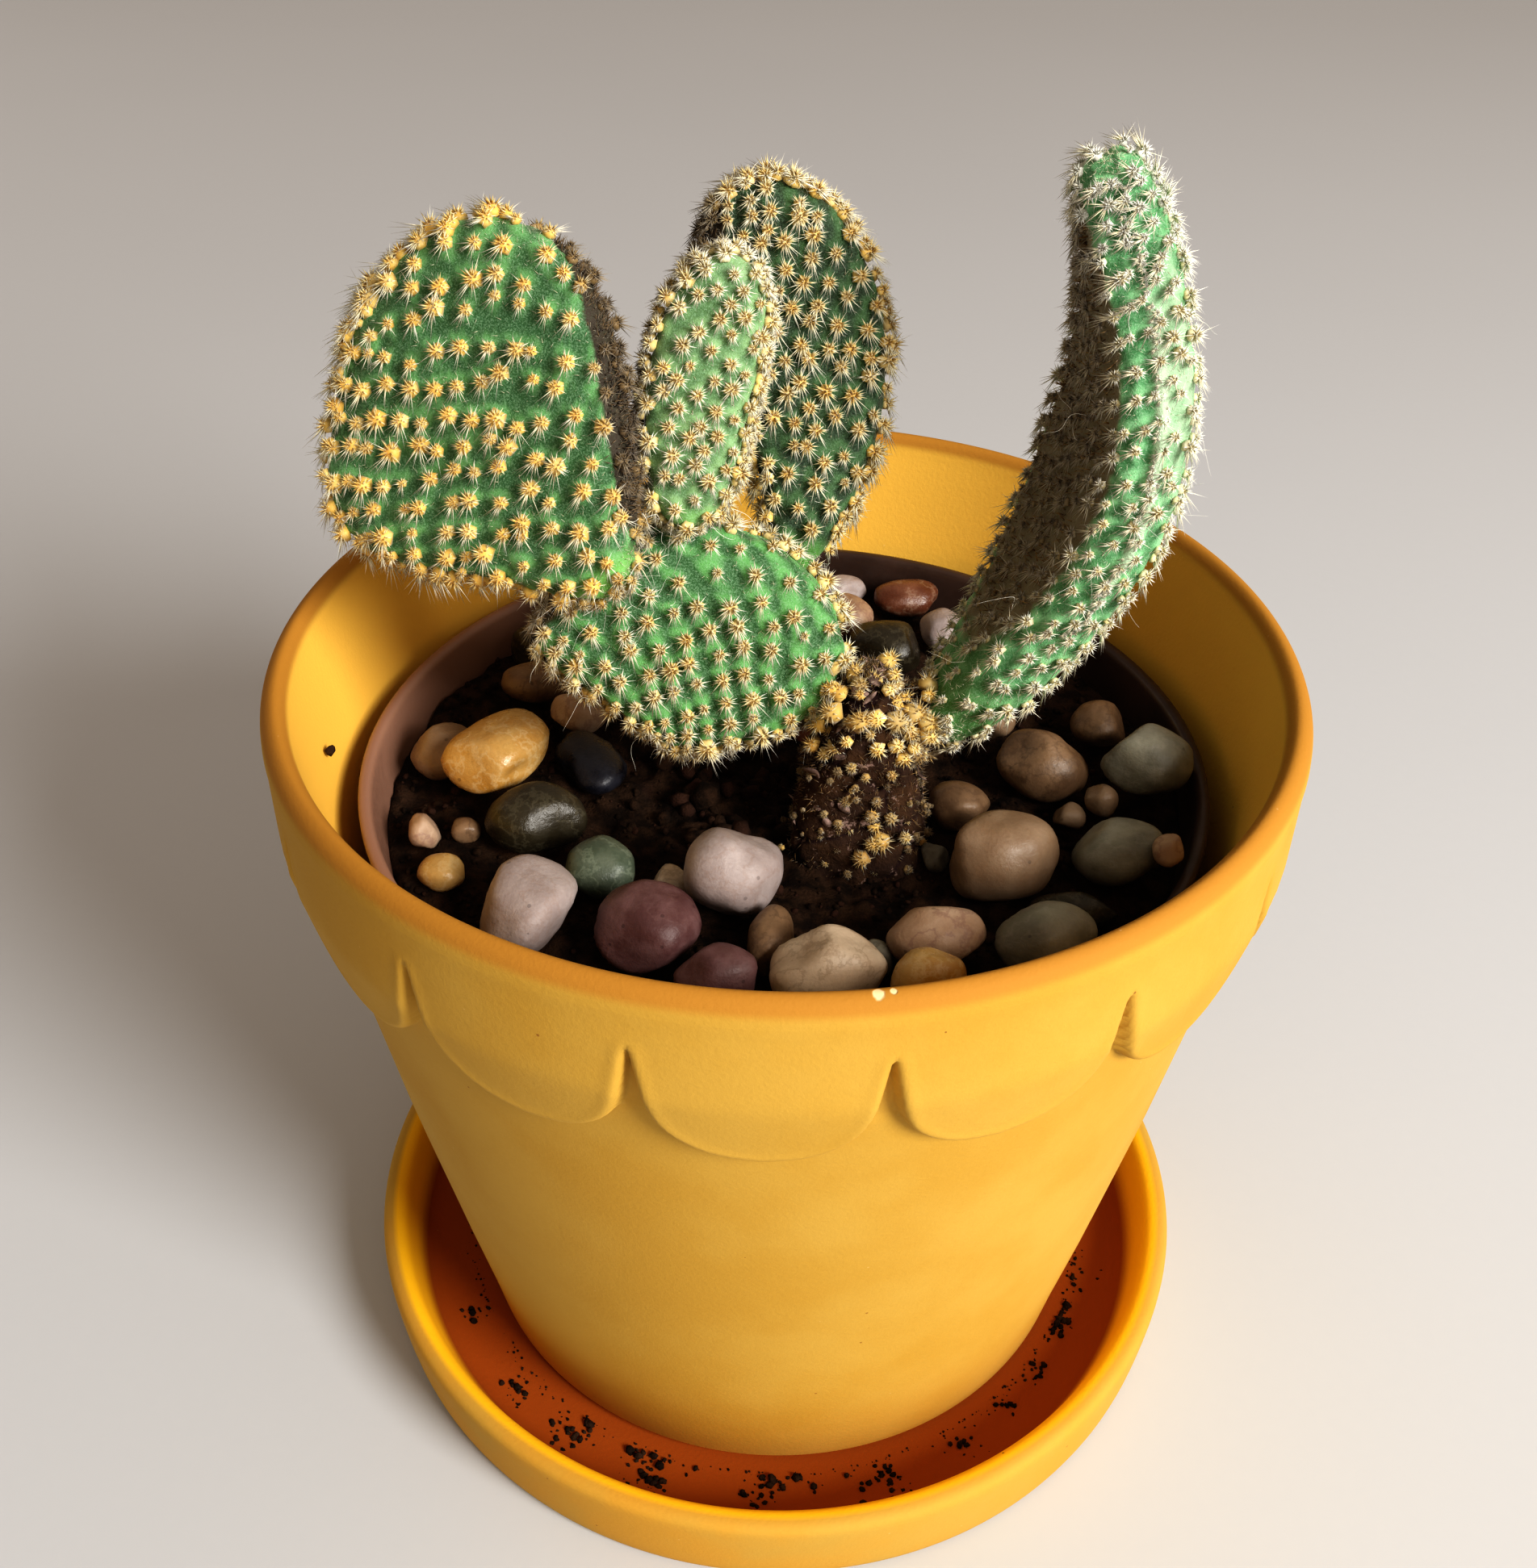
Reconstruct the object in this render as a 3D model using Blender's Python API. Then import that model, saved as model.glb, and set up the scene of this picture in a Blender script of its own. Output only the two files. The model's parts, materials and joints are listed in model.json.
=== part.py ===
# Bunny ears cactus in a scalloped clay pot on a saucer, with its inner nursery pot, soil and pebbles.
# Sizes are in millimetres here and become metres where a mesh is made. The pot's axis is Z,
# the saucer stands on Z = 0 and the front is -Y.
import math

import bmesh
import bpy
import numpy as np
from mathutils import Vector
from mathutils.bvhtree import BVHTree

MM = 0.001
GAP = 0.3                 # clearance between neighbours that touch
SEED = 11

# Saucer
SAUCER_RADIUS = 57.6
SAUCER_HEIGHT = 12.9
SAUCER_FOOT_RADIUS = 55.8
SAUCER_WALL = 4.0
SAUCER_FLOOR = 4.0
SAUCER_EDGE = 1.4         # how far its edges are rounded

# Clay pot: outer radius at heights above the saucer's underside
RIM_RADIUS = 60.0
RIM_HEIGHT = 104.3
RIM_WALL = 3.2
FOOT_RADIUS = 41.2
BODY = ((4.3, 41.2), (5.4, 42.7), (12.0, 43.9), (25.0, 46.5), (50.0, 51.1), (79.0, 56.0), (88.0, 57.6))
POT_WALL = 3.8
INSIDE_HEIGHTS = (88.0, 50.0, 12.0)   # where the inner wall's corners are, from the top down
POT_FLOOR = 9.0
DRAIN_RADIUS = 6.0
LIP_EDGE = 2.4            # how far down the lip's rounding reaches
FLOOR_EDGE = 2.5          # rounding between the wall and the floor inside

# Scalloped collar
LOBES = 15
FIRST_NOTCH = math.radians(-14.3)   # seen from the front, positive to the right
LOBE_BOTTOM = 81.0
NOTCH_BOTTOM = 85.5
NOTCH_TOP = 96.0
NOTCH_START = 0.8                   # share of half a lobe where the notch begins
LOBE_ROUNDNESS = 2.5
COLLAR_STEP = 1.5
COLLAR_FULL_HEIGHT = 90.0
COLLAR_TAPER = 0.2
COLLAR_ROWS = (-0.5, 0.4, 2.5)      # heights above the lobes' edge where the step starts, stands and ends
LOBE_COLUMNS = (-1.0, -0.82, -0.6, -0.25, 0.25, 0.6, 0.82)
PLAIN_COLUMNS = 3

# Nursery pot and soil
NURSERY_FLOOR_RADIUS = 35.0
NURSERY_RIM_RADIUS = 51.0
NURSERY_RIM_HEIGHT = 88.6
NURSERY_WALL = 0.9
NURSERY_LIP = 0.8         # how far the rim stands out
NURSERY_LIP_HEIGHT = 1.5
NURSERY_DRAIN_RADIUS = 4.0
SOIL_LEVEL = 83.0
SOIL_UNEVEN = 0.4
SOIL_EDGE = 0.7           # rounding of the soil block's edges
STEM_HOLE_RADIUS = 9.0
STEM_HOLE_DEPTH = 8.3

# Glochid tufts: a short pointed crown on a low swelling
TUFT_RADIUS = 1.0
TUFT_HEIGHT = 1.7
TUFT_SIDES = 5
SWELLING = 0.35
TUFT_CLEARANCE = 1.2
TUFT_WANDER = 0.25        # how far a tuft's tip strays sideways
BARE_HEIGHTS = (-1.6, -0.9, -0.4)   # rings of plain corners on a bare foot, as slopes from its middle
BARE_SIDES = 8
PLUMPNESS = 3.6           # how full the pads' edges are
GOLDEN = (math.sqrt(5.0) - 1.0) / 2.0

# Each stem segment: its spine from the joint to the tip, the way its broad face looks, its width and
# thickness, its width at five even heights as shares of the width, how square its outline is, its number
# of tufts, and the share of its length from the joint on that bears none
SEGMENTS = {
    "woody_stem": dict(spine=((7.8, -11.4, 75.0), (8.9, -10.4, 90.4), (9.0, -8.9, 106.3)),
                       facing=(0.0, -1.0, 0.2), width=13.2, thickness=9.6,
                       widths=(1.38, 1.19, 1.0, 0.81, 0.62), square=2.6, tufts=40, bare=0.36),
    "pad_lower": dict(spine=((3.3, -8.8, 101.5), (-10.4, -6.4, 109.1), (-27.6, -7.5, 108.7)),
                      facing=(0.05, -1.0, 0.4), width=24.0, thickness=7.6,
                      widths=(0.84, 1.02, 1.04, 0.88, 0.62), square=2.3, tufts=104, bare=0.0),
    "pad_left": dict(spine=((-18.4, -12.4, 118.0), (-31.1, -2.6, 130.5), (-47.2, 7.7, 140.2)),
                     facing=(-0.35, -0.88, 0.35), width=35.0, thickness=6.6,
                     widths=(0.48, 0.7, 1.0, 1.2, 1.22), square=2.0, tufts=160, bare=0.0),
    "pad_middle": dict(spine=((-11.0, -6.5, 122.6), (-9.9, -1.2, 134.9), (-6.1, 4.6, 147.9)),
                       facing=(0.1, -0.95, 0.32), width=10.6, thickness=6.8,
                       widths=(0.88, 0.94, 1.0, 1.06, 1.12), square=2.4, tufts=60, bare=0.0),
    "pad_back": dict(spine=((0.0, 1.7, 112.5), (1.7, 10.0, 133.3), (-7.0, 15.4, 150.9)),
                     facing=(0.1, -0.92, 0.32), width=17.4, thickness=6.4,
                     widths=(0.5, 0.72, 1.0, 1.14, 1.2), square=2.4, tufts=100, bare=0.0),
    "pad_right": dict(spine=((16.4, -8.7, 98.6), (33.4, -4.4, 130.0), (28.4, -8.2, 162.6)),
                      facing=(-0.97, -0.12, 0.1), width=24.6, thickness=8.8,
                      widths=(0.8, 0.86, 1.0, 0.81, 0.42), square=2.6, tufts=166, bare=0.0),
}

# Pebbles in the order that they are laid: place across and back, then length, breadth, height and turn
PEBBLES = (
    ("peach", -42.0, 2.8, 8.6, 9.0, 6.0, 20),
    ("amber", -35.0, -1.6, 14.4, 9.0, 7.6, 40),
    ("black", -24.0, 1.0, 13.4, 5.0, 4.4, -50),
    ("olive", -28.7, -12.0, 12.0, 8.6, 7.4, 15),
    ("brown", -32.5, 18.4, 9.0, 6.4, 4.6, 0),
    ("rose", -26.9, 11.6, 7.6, 6.0, 4.6, -30),
    ("rose", -42.3, -12.6, 4.0, 4.6, 4.2, 0),
    ("brown", -37.5, -11.2, 3.6, 3.4, 2.8, 0),
    ("amber", -39.2, -19.4, 5.6, 4.6, 3.4, 0),
    ("green", -21.0, -19.6, 8.0, 7.4, 5.6, 0),
    ("white", -27.6, -28.6, 12.0, 10.0, 10.0, 40),
    ("maroon", -15.0, -31.0, 11.0, 9.6, 8.6, 0),
    ("white", -5.4, -23.8, 10.6, 9.4, 10.6, 60),
    ("cream", -12.6, -20.6, 4.6, 4.6, 3.4, 0),
    ("maroon", -7.4, -37.8, 8.8, 6.6, 7.4, 0),
    ("brown", -1.4, -31.2, 4.8, 7.6, 6.4, 0),
    ("cream", 4.6, -38.4, 12.6, 8.2, 9.6, 5),
    ("grey", 9.6, -32.6, 4.6, 4.6, 3.4, 0),
    ("rose", 16.7, -31.4, 11.0, 8.4, 7.6, -10),
    ("amber", 15.6, -39.4, 8.6, 6.4, 9.4, 10),
    ("slate", 28.2, -32.4, 11.0, 7.4, 8.0, 10),
    ("olive", 32.6, -24.8, 10.6, 4.6, 4.0, 8),
    ("peach", 25.2, -18.4, 12.2, 10.0, 9.4, -10),
    ("brown", 31.2, -0.4, 10.6, 9.0, 8.0, 0),
    ("peach", 34.2, -7.0, 4.2, 3.8, 3.2, 0),
    ("peach", 37.6, -6.4, 4.4, 4.2, 4.0, 0),
    ("slate", 38.0, -16.4, 10.4, 8.6, 7.0, -20),
    ("slate", 43.6, -2.6, 10.6, 9.0, 8.2, 30),
    ("brown", 39.8, 9.8, 7.0, 6.6, 5.4, 0),
    ("brown", 21.0, -7.4, 7.6, 7.0, 5.8, 0),
    ("grey", 17.4, -15.6, 3.8, 4.0, 3.0, 0),
    ("rose", 42.8, -20.0, 3.8, 4.0, 3.2, 0),
    ("white", 7.8, 43.6, 7.0, 5.0, 4.0, 0),
    ("rose", 8.6, 35.0, 7.2, 6.4, 5.6, 15),
    ("olive", 13.4, 26.4, 10.0, 8.6, 7.0, 0),
    ("russet", 17.0, 41.6, 9.6, 6.0, 4.6, 0),
    ("white", 22.4, 33.0, 6.6, 8.0, 5.4, 20),
    ("green", 16.6, 18.4, 4.0, 4.4, 3.4, 0),
    ("grey", -16.5, 27.0, 8.0, 7.0, 5.6, 35),
    ("maroon", -6.0, 38.4, 9.4, 7.0, 6.0, -15),
    ("cream", -26.6, 34.0, 9.0, 8.0, 6.4, 50),
    ("olive", -33.0, 27.6, 7.6, 7.4, 5.6, 0),
    ("white", -4.6, 19.0, 7.0, 6.0, 5.0, 70),
    ("slate", -15.6, 12.6, 8.8, 6.6, 5.0, 20),
    ("brown", 30.8, 23.4, 8.6, 7.4, 6.2, -40),
    ("russet", 3.8, 10.0, 6.6, 5.6, 4.4, 10),
    ("peach", 27.0, 12.0, 6.0, 7.0, 5.0, 0),
)
PEBBLE_SQUARE = 2.3
PEBBLE_LUMP = 0.07
SMALL_PEBBLE = 4.7        # up to this length a pebble has fewer faces

# Colour, roughness and name of each material
FINISHES = {
    "painted_clay": ((0.72, 0.42, 0.07), 0.75),
    "nursery_plastic": ((0.30, 0.18, 0.13), 0.45),
    "potting_soil": ((0.035, 0.020, 0.013), 0.95),
    "corky_bark": ((0.22, 0.12, 0.05), 0.9),
    "cactus_skin": ((0.10, 0.26, 0.09), 0.65),
    "amber": ((0.62, 0.38, 0.11), 0.35),
    "peach": ((0.62, 0.43, 0.28), 0.5),
    "black": ((0.02, 0.02, 0.03), 0.35),
    "olive": ((0.14, 0.13, 0.09), 0.4),
    "brown": ((0.24, 0.15, 0.09), 0.5),
    "rose": ((0.48, 0.31, 0.27), 0.5),
    "green": ((0.20, 0.30, 0.22), 0.45),
    "white": ((0.66, 0.57, 0.53), 0.5),
    "maroon": ((0.20, 0.09, 0.09), 0.5),
    "cream": ((0.66, 0.55, 0.38), 0.5),
    "grey": ((0.35, 0.31, 0.27), 0.55),
    "slate": ((0.12, 0.11, 0.10), 0.45),
    "russet": ((0.22, 0.08, 0.04), 0.35),
}


def clear_scene():
    for item in list(bpy.data.objects):
        bpy.data.objects.remove(item, do_unlink=True)


def finish(name):
    """The material of that name, made on its first use."""
    if name in bpy.data.materials:
        return bpy.data.materials[name]
    colour, roughness = FINISHES[name]
    material = bpy.data.materials.new(name)
    material.use_nodes = True
    shader = material.node_tree.nodes["Principled BSDF"]
    shader.inputs["Base Color"].default_value = (*colour, 1.0)
    shader.inputs["Roughness"].default_value = roughness
    shader.inputs["Metallic"].default_value = 0.0
    return material


def add_object(name, bm, material):
    """Turns a bmesh in millimetres into an object in metres."""
    bmesh.ops.recalc_face_normals(bm, faces=bm.faces)
    # A thin tuft out at the edge can turn the whole body's faces inwards
    if bm.calc_volume(signed=True) < 0.0:
        bmesh.ops.reverse_faces(bm, faces=bm.faces)
    bmesh.ops.scale(bm, vec=(MM, MM, MM), verts=bm.verts)
    mesh = bpy.data.meshes.new(name)
    bm.to_mesh(mesh)
    bm.free()
    mesh.shade_smooth()
    mesh.materials.append(finish(material))
    item = bpy.data.objects.new(name, mesh)
    bpy.context.scene.collection.objects.link(item)
    return item


def polar(angle, radius, height):
    """A point by its angle from the front, positive to the right."""
    return (radius * math.sin(angle), -radius * math.cos(angle), height)


def circle(radius, height, count, centre=(0.0, 0.0), start=FIRST_NOTCH):
    points = []
    for k in range(count):
        x, y, z = polar(start + math.tau * k / count, radius, height)
        points.append((x + centre[0], y + centre[1], z))
    return points


def stitch(bm, low, high):
    """Triangles between two rings that start at one angle, whatever their counts."""
    i = j = 0
    while i < len(low) or j < len(high):
        if j == len(high) or (i < len(low) and (i + 1) / len(low) <= (j + 1) / len(high)):
            bm.faces.new((low[i], low[(i + 1) % len(low)], high[j % len(high)]))
            i += 1
        else:
            bm.faces.new((low[i % len(low)], high[(j + 1) % len(high)], high[j]))
            j += 1


def loft(name, rings, material, ring_shaped=False):
    """A solid through a list of rings: capped at both ends, or joined end to start."""
    bm = bmesh.new()
    loops = [[bm.verts.new(point) for point in ring] for ring in rings]
    for low, high in zip(loops, loops[1:]):
        stitch(bm, low, high)
    if ring_shaped:
        stitch(bm, loops[-1], loops[0])
    else:
        bm.faces.new(loops[0])
        bm.faces.new(loops[-1])
    return add_object(name, bm, material)


def revolve(name, profile, material, count, ring_shaped=False):
    """A solid of revolution from radius and height pairs."""
    return loft(name, [circle(radius, height, count) for radius, height in profile], material, ring_shaped)


def make_saucer():
    top = SAUCER_HEIGHT
    inner = SAUCER_RADIUS - SAUCER_WALL
    edge = SAUCER_EDGE
    profile = [
        (SAUCER_FOOT_RADIUS, 0.0), (SAUCER_FOOT_RADIUS + edge * 0.5, edge * 0.6),
        (SAUCER_RADIUS, top - edge), (SAUCER_RADIUS - edge * 0.35, top - edge * 0.3),
        (SAUCER_RADIUS - edge * 1.2, top), (inner + edge * 0.65, top - edge * 0.3), (inner, top - edge),
        (inner - edge, SAUCER_FLOOR + edge), (inner - edge * 2.0, SAUCER_FLOOR),
    ]
    revolve("saucer", profile, "painted_clay", 48)


def body_radius(height):
    return float(np.interp(height, [h for h, r in BODY], [r for h, r in BODY]))


def lobe_edge(share):
    """Height of the collar's lower edge, from a lobe's middle (0) to a notch (-1 or 1)."""
    share = abs(share)
    round_part = (min(share, NOTCH_START) / NOTCH_START) ** LOBE_ROUNDNESS
    notch_part = max(0.0, share - NOTCH_START) / (1.0 - NOTCH_START)
    return (LOBE_BOTTOM + (NOTCH_BOTTOM - LOBE_BOTTOM) * round_part
            + (NOTCH_TOP - NOTCH_BOTTOM) * notch_part)


def collar_radius(height):
    return RIM_RADIUS - COLLAR_TAPER * max(0.0, COLLAR_FULL_HEIGHT - height)


def scallop_ring(above, radius_at):
    """A ring that follows the lobes at a distance above their lower edge."""
    half = math.pi / LOBES
    points = []
    for lobe in range(LOBES):
        for share in LOBE_COLUMNS:
            angle = FIRST_NOTCH + half * (2 * lobe + 1 + share)
            height = lobe_edge(share) + above
            points.append(polar(angle, radius_at(height), height))
    return points


def make_pot():
    count = LOBES * PLAIN_COLUMNS
    foot = SAUCER_FLOOR + GAP
    rings = [circle(DRAIN_RADIUS, foot, count), circle(FOOT_RADIUS, foot, count)]
    rings += [circle(radius, height, count) for height, radius in BODY[1:-1]]
    rings += [
        scallop_ring(COLLAR_ROWS[0], body_radius),
        scallop_ring(COLLAR_ROWS[1], lambda height: body_radius(height) + COLLAR_STEP),
        scallop_ring(COLLAR_ROWS[2], collar_radius),
    ]
    inner = RIM_RADIUS - RIM_WALL
    lip = [(RIM_RADIUS, RIM_HEIGHT - LIP_EDGE), (RIM_RADIUS - LIP_EDGE * 0.2, RIM_HEIGHT - LIP_EDGE * 0.4),
           (RIM_RADIUS - RIM_WALL / 2, RIM_HEIGHT), (inner + LIP_EDGE * 0.2, RIM_HEIGHT - LIP_EDGE * 0.3),
           (inner, RIM_HEIGHT - LIP_EDGE)]
    inside = [(body_radius(height) - POT_WALL, height) for height in INSIDE_HEIGHTS]
    inside += [(inside[-1][0] - FLOOR_EDGE, POT_FLOOR), (DRAIN_RADIUS, POT_FLOOR)]
    rings += [circle(radius, height, count) for radius, height in lip + inside]
    loft("pot", rings, "painted_clay", ring_shaped=True)


def make_nursery_pot():
    floor = POT_FLOOR + GAP
    top = NURSERY_RIM_HEIGHT
    foot = NURSERY_FLOOR_RADIUS
    neck = NURSERY_RIM_RADIUS - NURSERY_LIP
    below = top - NURSERY_LIP_HEIGHT
    wall = NURSERY_WALL
    profile = [
        (NURSERY_DRAIN_RADIUS, floor), (foot - wall, floor), (foot, floor + wall),
        (neck, below - GAP / 2), (NURSERY_RIM_RADIUS, below), (NURSERY_RIM_RADIUS, top),
        (neck - wall, top), (neck - wall, below - GAP / 2),
        (foot - wall, floor + wall * 1.6), (foot - wall * 1.8, floor + wall), (NURSERY_DRAIN_RADIUS, floor + wall),
    ]
    revolve("nursery_pot", profile, "nursery_plastic", 36, ring_shaped=True)


def make_soil(random):
    """Fills the nursery pot and has a plain hole for the stem."""
    count = 36
    bottom = POT_FLOOR + GAP + NURSERY_WALL + GAP
    foot = NURSERY_FLOOR_RADIUS - NURSERY_WALL - GAP
    wall = NURSERY_RIM_RADIUS - NURSERY_LIP - NURSERY_WALL - GAP
    slope = (wall - foot) / (NURSERY_RIM_HEIGHT - POT_FLOOR)
    edge = wall - slope * (NURSERY_RIM_HEIGHT - SOIL_LEVEL) - GAP
    stem_x, stem_y, _ = SEGMENTS["woody_stem"]["spine"][0]
    rings = [circle(foot - SOIL_EDGE * 2.0, bottom, count), circle(foot - GAP, bottom + SOIL_EDGE * 2.0, count),
             circle(edge, SOIL_LEVEL - SOIL_EDGE, count), circle(edge - SOIL_EDGE, SOIL_LEVEL, count)]
    for share in (0.25, 0.5, 0.75):
        radius = (edge - SOIL_EDGE) * (1.0 - share) + STEM_HOLE_RADIUS * share
        ring = circle(radius, SOIL_LEVEL, count, (stem_x * share, stem_y * share))
        lifts = random.uniform(-SOIL_UNEVEN, SOIL_UNEVEN, count)
        rings.append([(x, y, z + lift) for (x, y, z), lift in zip(ring, lifts)])
    rings.append(circle(STEM_HOLE_RADIUS, SOIL_LEVEL, count, (stem_x, stem_y)))
    rings.append(circle(STEM_HOLE_RADIUS - SOIL_EDGE, SOIL_LEVEL - STEM_HOLE_DEPTH, count, (stem_x, stem_y)))
    return loft("soil", rings, "potting_soil")


def spine_frame(segment, share):
    """Point and the across, facing and along directions at a share of the spine."""
    base, middle, tip = (np.array(point) for point in segment["spine"])
    bend = 2.0 * middle - (base + tip) / 2.0
    s = share[:, None]
    point = (1 - s) ** 2 * base + 2 * s * (1 - s) * bend + s ** 2 * tip
    along = 2 * (1 - s) * (bend - base) + 2 * s * (tip - bend)
    along /= np.linalg.norm(along, axis=1, keepdims=True)
    across = np.cross(np.array(segment["facing"]), along)
    across /= np.linalg.norm(across, axis=1, keepdims=True)
    return point, across, np.cross(along, across), along


def spine_length(segment):
    point = spine_frame(segment, np.linspace(0.0, 1.0, 40))[0]
    return float(np.linalg.norm(np.diff(point, axis=0), axis=1).sum())


def half_sizes(segment, height):
    """Half width, half thickness and half length in millimetres at a height from -1 to 1."""
    # One smooth curve through the widths at the five even heights
    curve = np.polyfit(np.linspace(-1.0, 1.0, 5), segment["widths"], 4)
    widen = np.polyval(curve, height)
    return (segment["width"] / 2 * widen, np.full_like(height, segment["thickness"] / 2),
            np.full_like(height, spine_length(segment) / 2))


def shell_value(segment, unit):
    """1 on the rounded shape (|x|^p + |z|^p)^(q/p) + |y|^q = 1, where p squares the outline and q the edge."""
    p, q = segment["square"], PLUMPNESS
    x, y, z = np.abs(unit).T
    return (x ** p + z ** p) ** (q / p) + y ** q


def on_shell(segment, unit):
    """Pushes points straight out or in to the rounded shape."""
    return unit / shell_value(segment, unit)[:, None] ** (1.0 / PLUMPNESS)


def outward(segment, unit):
    """The rounded shape's normal at unit points, in straight millimetre space."""
    step = 1e-4
    sizes = np.stack(half_sizes(segment, unit[:, 2]), axis=1)
    slope = np.stack([(shell_value(segment, unit + step * axis) - shell_value(segment, unit - step * axis))
                      for axis in np.eye(3)], axis=1) / sizes
    return slope / np.linalg.norm(slope, axis=1, keepdims=True)


def bend_to_place(segment, straight):
    """Carries straight millimetre points onto the segment's curved spine."""
    share = straight[:, 2] / spine_length(segment) + 0.5
    inside = np.clip(share, 0.0, 1.0)
    point, across, facing, along = spine_frame(segment, inside)
    rest = (share - inside)[:, None] * spine_length(segment)
    return point + across * straight[:, :1] + facing * straight[:, 1:2] + along * rest


def areole_sites(segment, count):
    """Unit points spaced evenly over a segment along a golden-angle spiral, as areoles grow."""
    polar_angle, turn = np.meshgrid(np.linspace(math.pi, 0.0, 121), np.linspace(0.0, math.tau, 145), indexing="ij")
    ball = np.stack((np.sin(polar_angle) * np.cos(turn), np.sin(polar_angle) * np.sin(turn),
                     np.cos(polar_angle)), axis=2)
    unit = on_shell(segment, ball.reshape(-1, 3))
    outline = (unit * np.stack(half_sizes(segment, unit[:, 2]), axis=1)).reshape(ball.shape)
    unit = unit.reshape(ball.shape)
    steps = np.linalg.norm(np.diff(outline, axis=1), axis=2)
    perimeter = steps.sum(axis=1)
    rise = np.linalg.norm(np.diff(outline, axis=0), axis=2).mean(axis=1)
    area = np.concatenate(([0.0], np.cumsum((perimeter[1:] + perimeter[:-1]) / 2 * rise)))
    order = np.arange(count) + 0.5
    start = np.interp(segment["bare"] * 2 - 1, unit[:, 0, 2], area)
    level = np.interp(start + (area[-1] - start) * order / count, area, np.arange(len(area)))
    sites = []
    for index, row in enumerate(level):
        low = int(min(row, len(area) - 2))
        part = row - low
        run = np.concatenate(([0.0], np.cumsum(steps[low] * (1 - part) + steps[low + 1] * part)))
        column = np.interp((index * GOLDEN % 1.0) * run[-1], run, np.arange(len(run)))
        near = int(min(column, len(run) - 2))
        blend = column - near
        corners = unit[low:low + 2, near:near + 2]
        lower, upper = corners[:, 0] * (1 - blend) + corners[:, 1] * blend
        sites.append(lower * (1 - part) + upper * part)
    return on_shell(segment, np.array(sites))


def smooth_body(segment):
    """A tree of the segment without tufts, for keeping tufts off its neighbours."""
    bm = bmesh.new()
    bmesh.ops.create_icosphere(bm, subdivisions=3, radius=1.0)
    unit = on_shell(segment, np.array([vertex.co for vertex in bm.verts]))
    sizes = np.stack(half_sizes(segment, unit[:, 2]), axis=1)
    for vertex, place in zip(bm.verts, bend_to_place(segment, unit * sizes)):
        vertex.co = place
    bm.normal_update()
    tree = BVHTree.FromBMesh(bm)
    bm.free()
    return tree


def make_segment(name, trees, random):
    """A stem segment: a rounded body whose skin rises to a pointed tuft at each areole."""
    segment = SEGMENTS[name]
    sites = areole_sites(segment, segment["tufts"])
    sizes = np.stack(half_sizes(segment, sites[:, 2]), axis=1)
    normal = outward(segment, sites)
    foot = sites * sizes
    side = np.cross(normal, (0.31, 0.17, 0.93))
    side /= np.linalg.norm(side, axis=1, keepdims=True)
    other = np.cross(normal, side)
    apex = foot + normal * (SWELLING + TUFT_HEIGHT * random.uniform(0.85, 1.15, (len(sites), 1)))
    stray = random.normal(0.0, TUFT_WANDER, (len(sites), 2))
    apex += side * stray[:, :1] + other * stray[:, 1:]
    others = [tree for other_name, tree in trees.items() if other_name != name]
    placed = bend_to_place(segment, apex)
    free = [all(clear_of(tree, point) for tree in others) for point in placed]
    apex[~np.array(free)] = foot[~np.array(free)]
    shell, shape = [sites], [apex]
    for k in range(TUFT_SIDES):
        angle = math.tau * k / TUFT_SIDES + random.uniform(0, 0.6, (len(sites), 1))
        root = foot + TUFT_RADIUS * (side * np.cos(angle) + other * np.sin(angle))
        unit = on_shell(segment, root / sizes)
        shell.append(unit)
        shape.append(unit * np.stack(half_sizes(segment, unit[:, 2]), axis=1) + normal * SWELLING)
    if segment["bare"] > 0.0:
        turns = [math.tau * k / BARE_SIDES for k in range(BARE_SIDES)]
        low = [(math.cos(turn), math.sin(turn), height) for height in BARE_HEIGHTS for turn in turns]
        unit = on_shell(segment, np.array(low + [(0.0, 0.0, -1.0)]))
        shell.append(unit)
        shape.append(unit * np.stack(half_sizes(segment, unit[:, 2]), axis=1))
    shell = np.concatenate(shell)
    shape = bend_to_place(segment, np.concatenate(shape))
    # The hull of the points on a ball gives the order of the faces; the vertices then take their places
    ball = shell / np.linalg.norm(shell, axis=1, keepdims=True)
    bm = bmesh.new()
    vertices = [bm.verts.new(point) for point in ball]
    bmesh.ops.convex_hull(bm, input=vertices)
    for vertex, place in zip(vertices, shape):
        vertex.co = place
    material = "corky_bark" if name == "woody_stem" else "cactus_skin"
    return add_object(name, bm, material)


def clear_of(tree, point):
    """Whether a tuft's tip keeps clear of a neighbour's body."""
    place, normal, _, distance = tree.find_nearest(Vector(point))
    return distance > TUFT_CLEARANCE and (Vector(point) - place).dot(normal) > 0


def pebble_points(bm, length, breadth, height, turn, random):
    """Shapes a ball into a lumpy pebble about the origin."""
    lumps = random.uniform(-1.0, 1.0, (3, 3))
    cosine, sine = math.cos(math.radians(turn)), math.sin(math.radians(turn))
    for vertex in bm.verts:
        unit = np.array(vertex.co)
        unit /= (np.abs(unit) ** PEBBLE_SQUARE).sum() ** (1.0 / PEBBLE_SQUARE)
        swell = 1.0 + PEBBLE_LUMP * float(np.sin(2.2 * unit @ lumps + lumps[0]).sum())
        x, y, z = unit * swell * np.array((length, breadth, height)) / 2
        vertex.co = (x * cosine - y * sine, x * sine + y * cosine, z)


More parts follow.
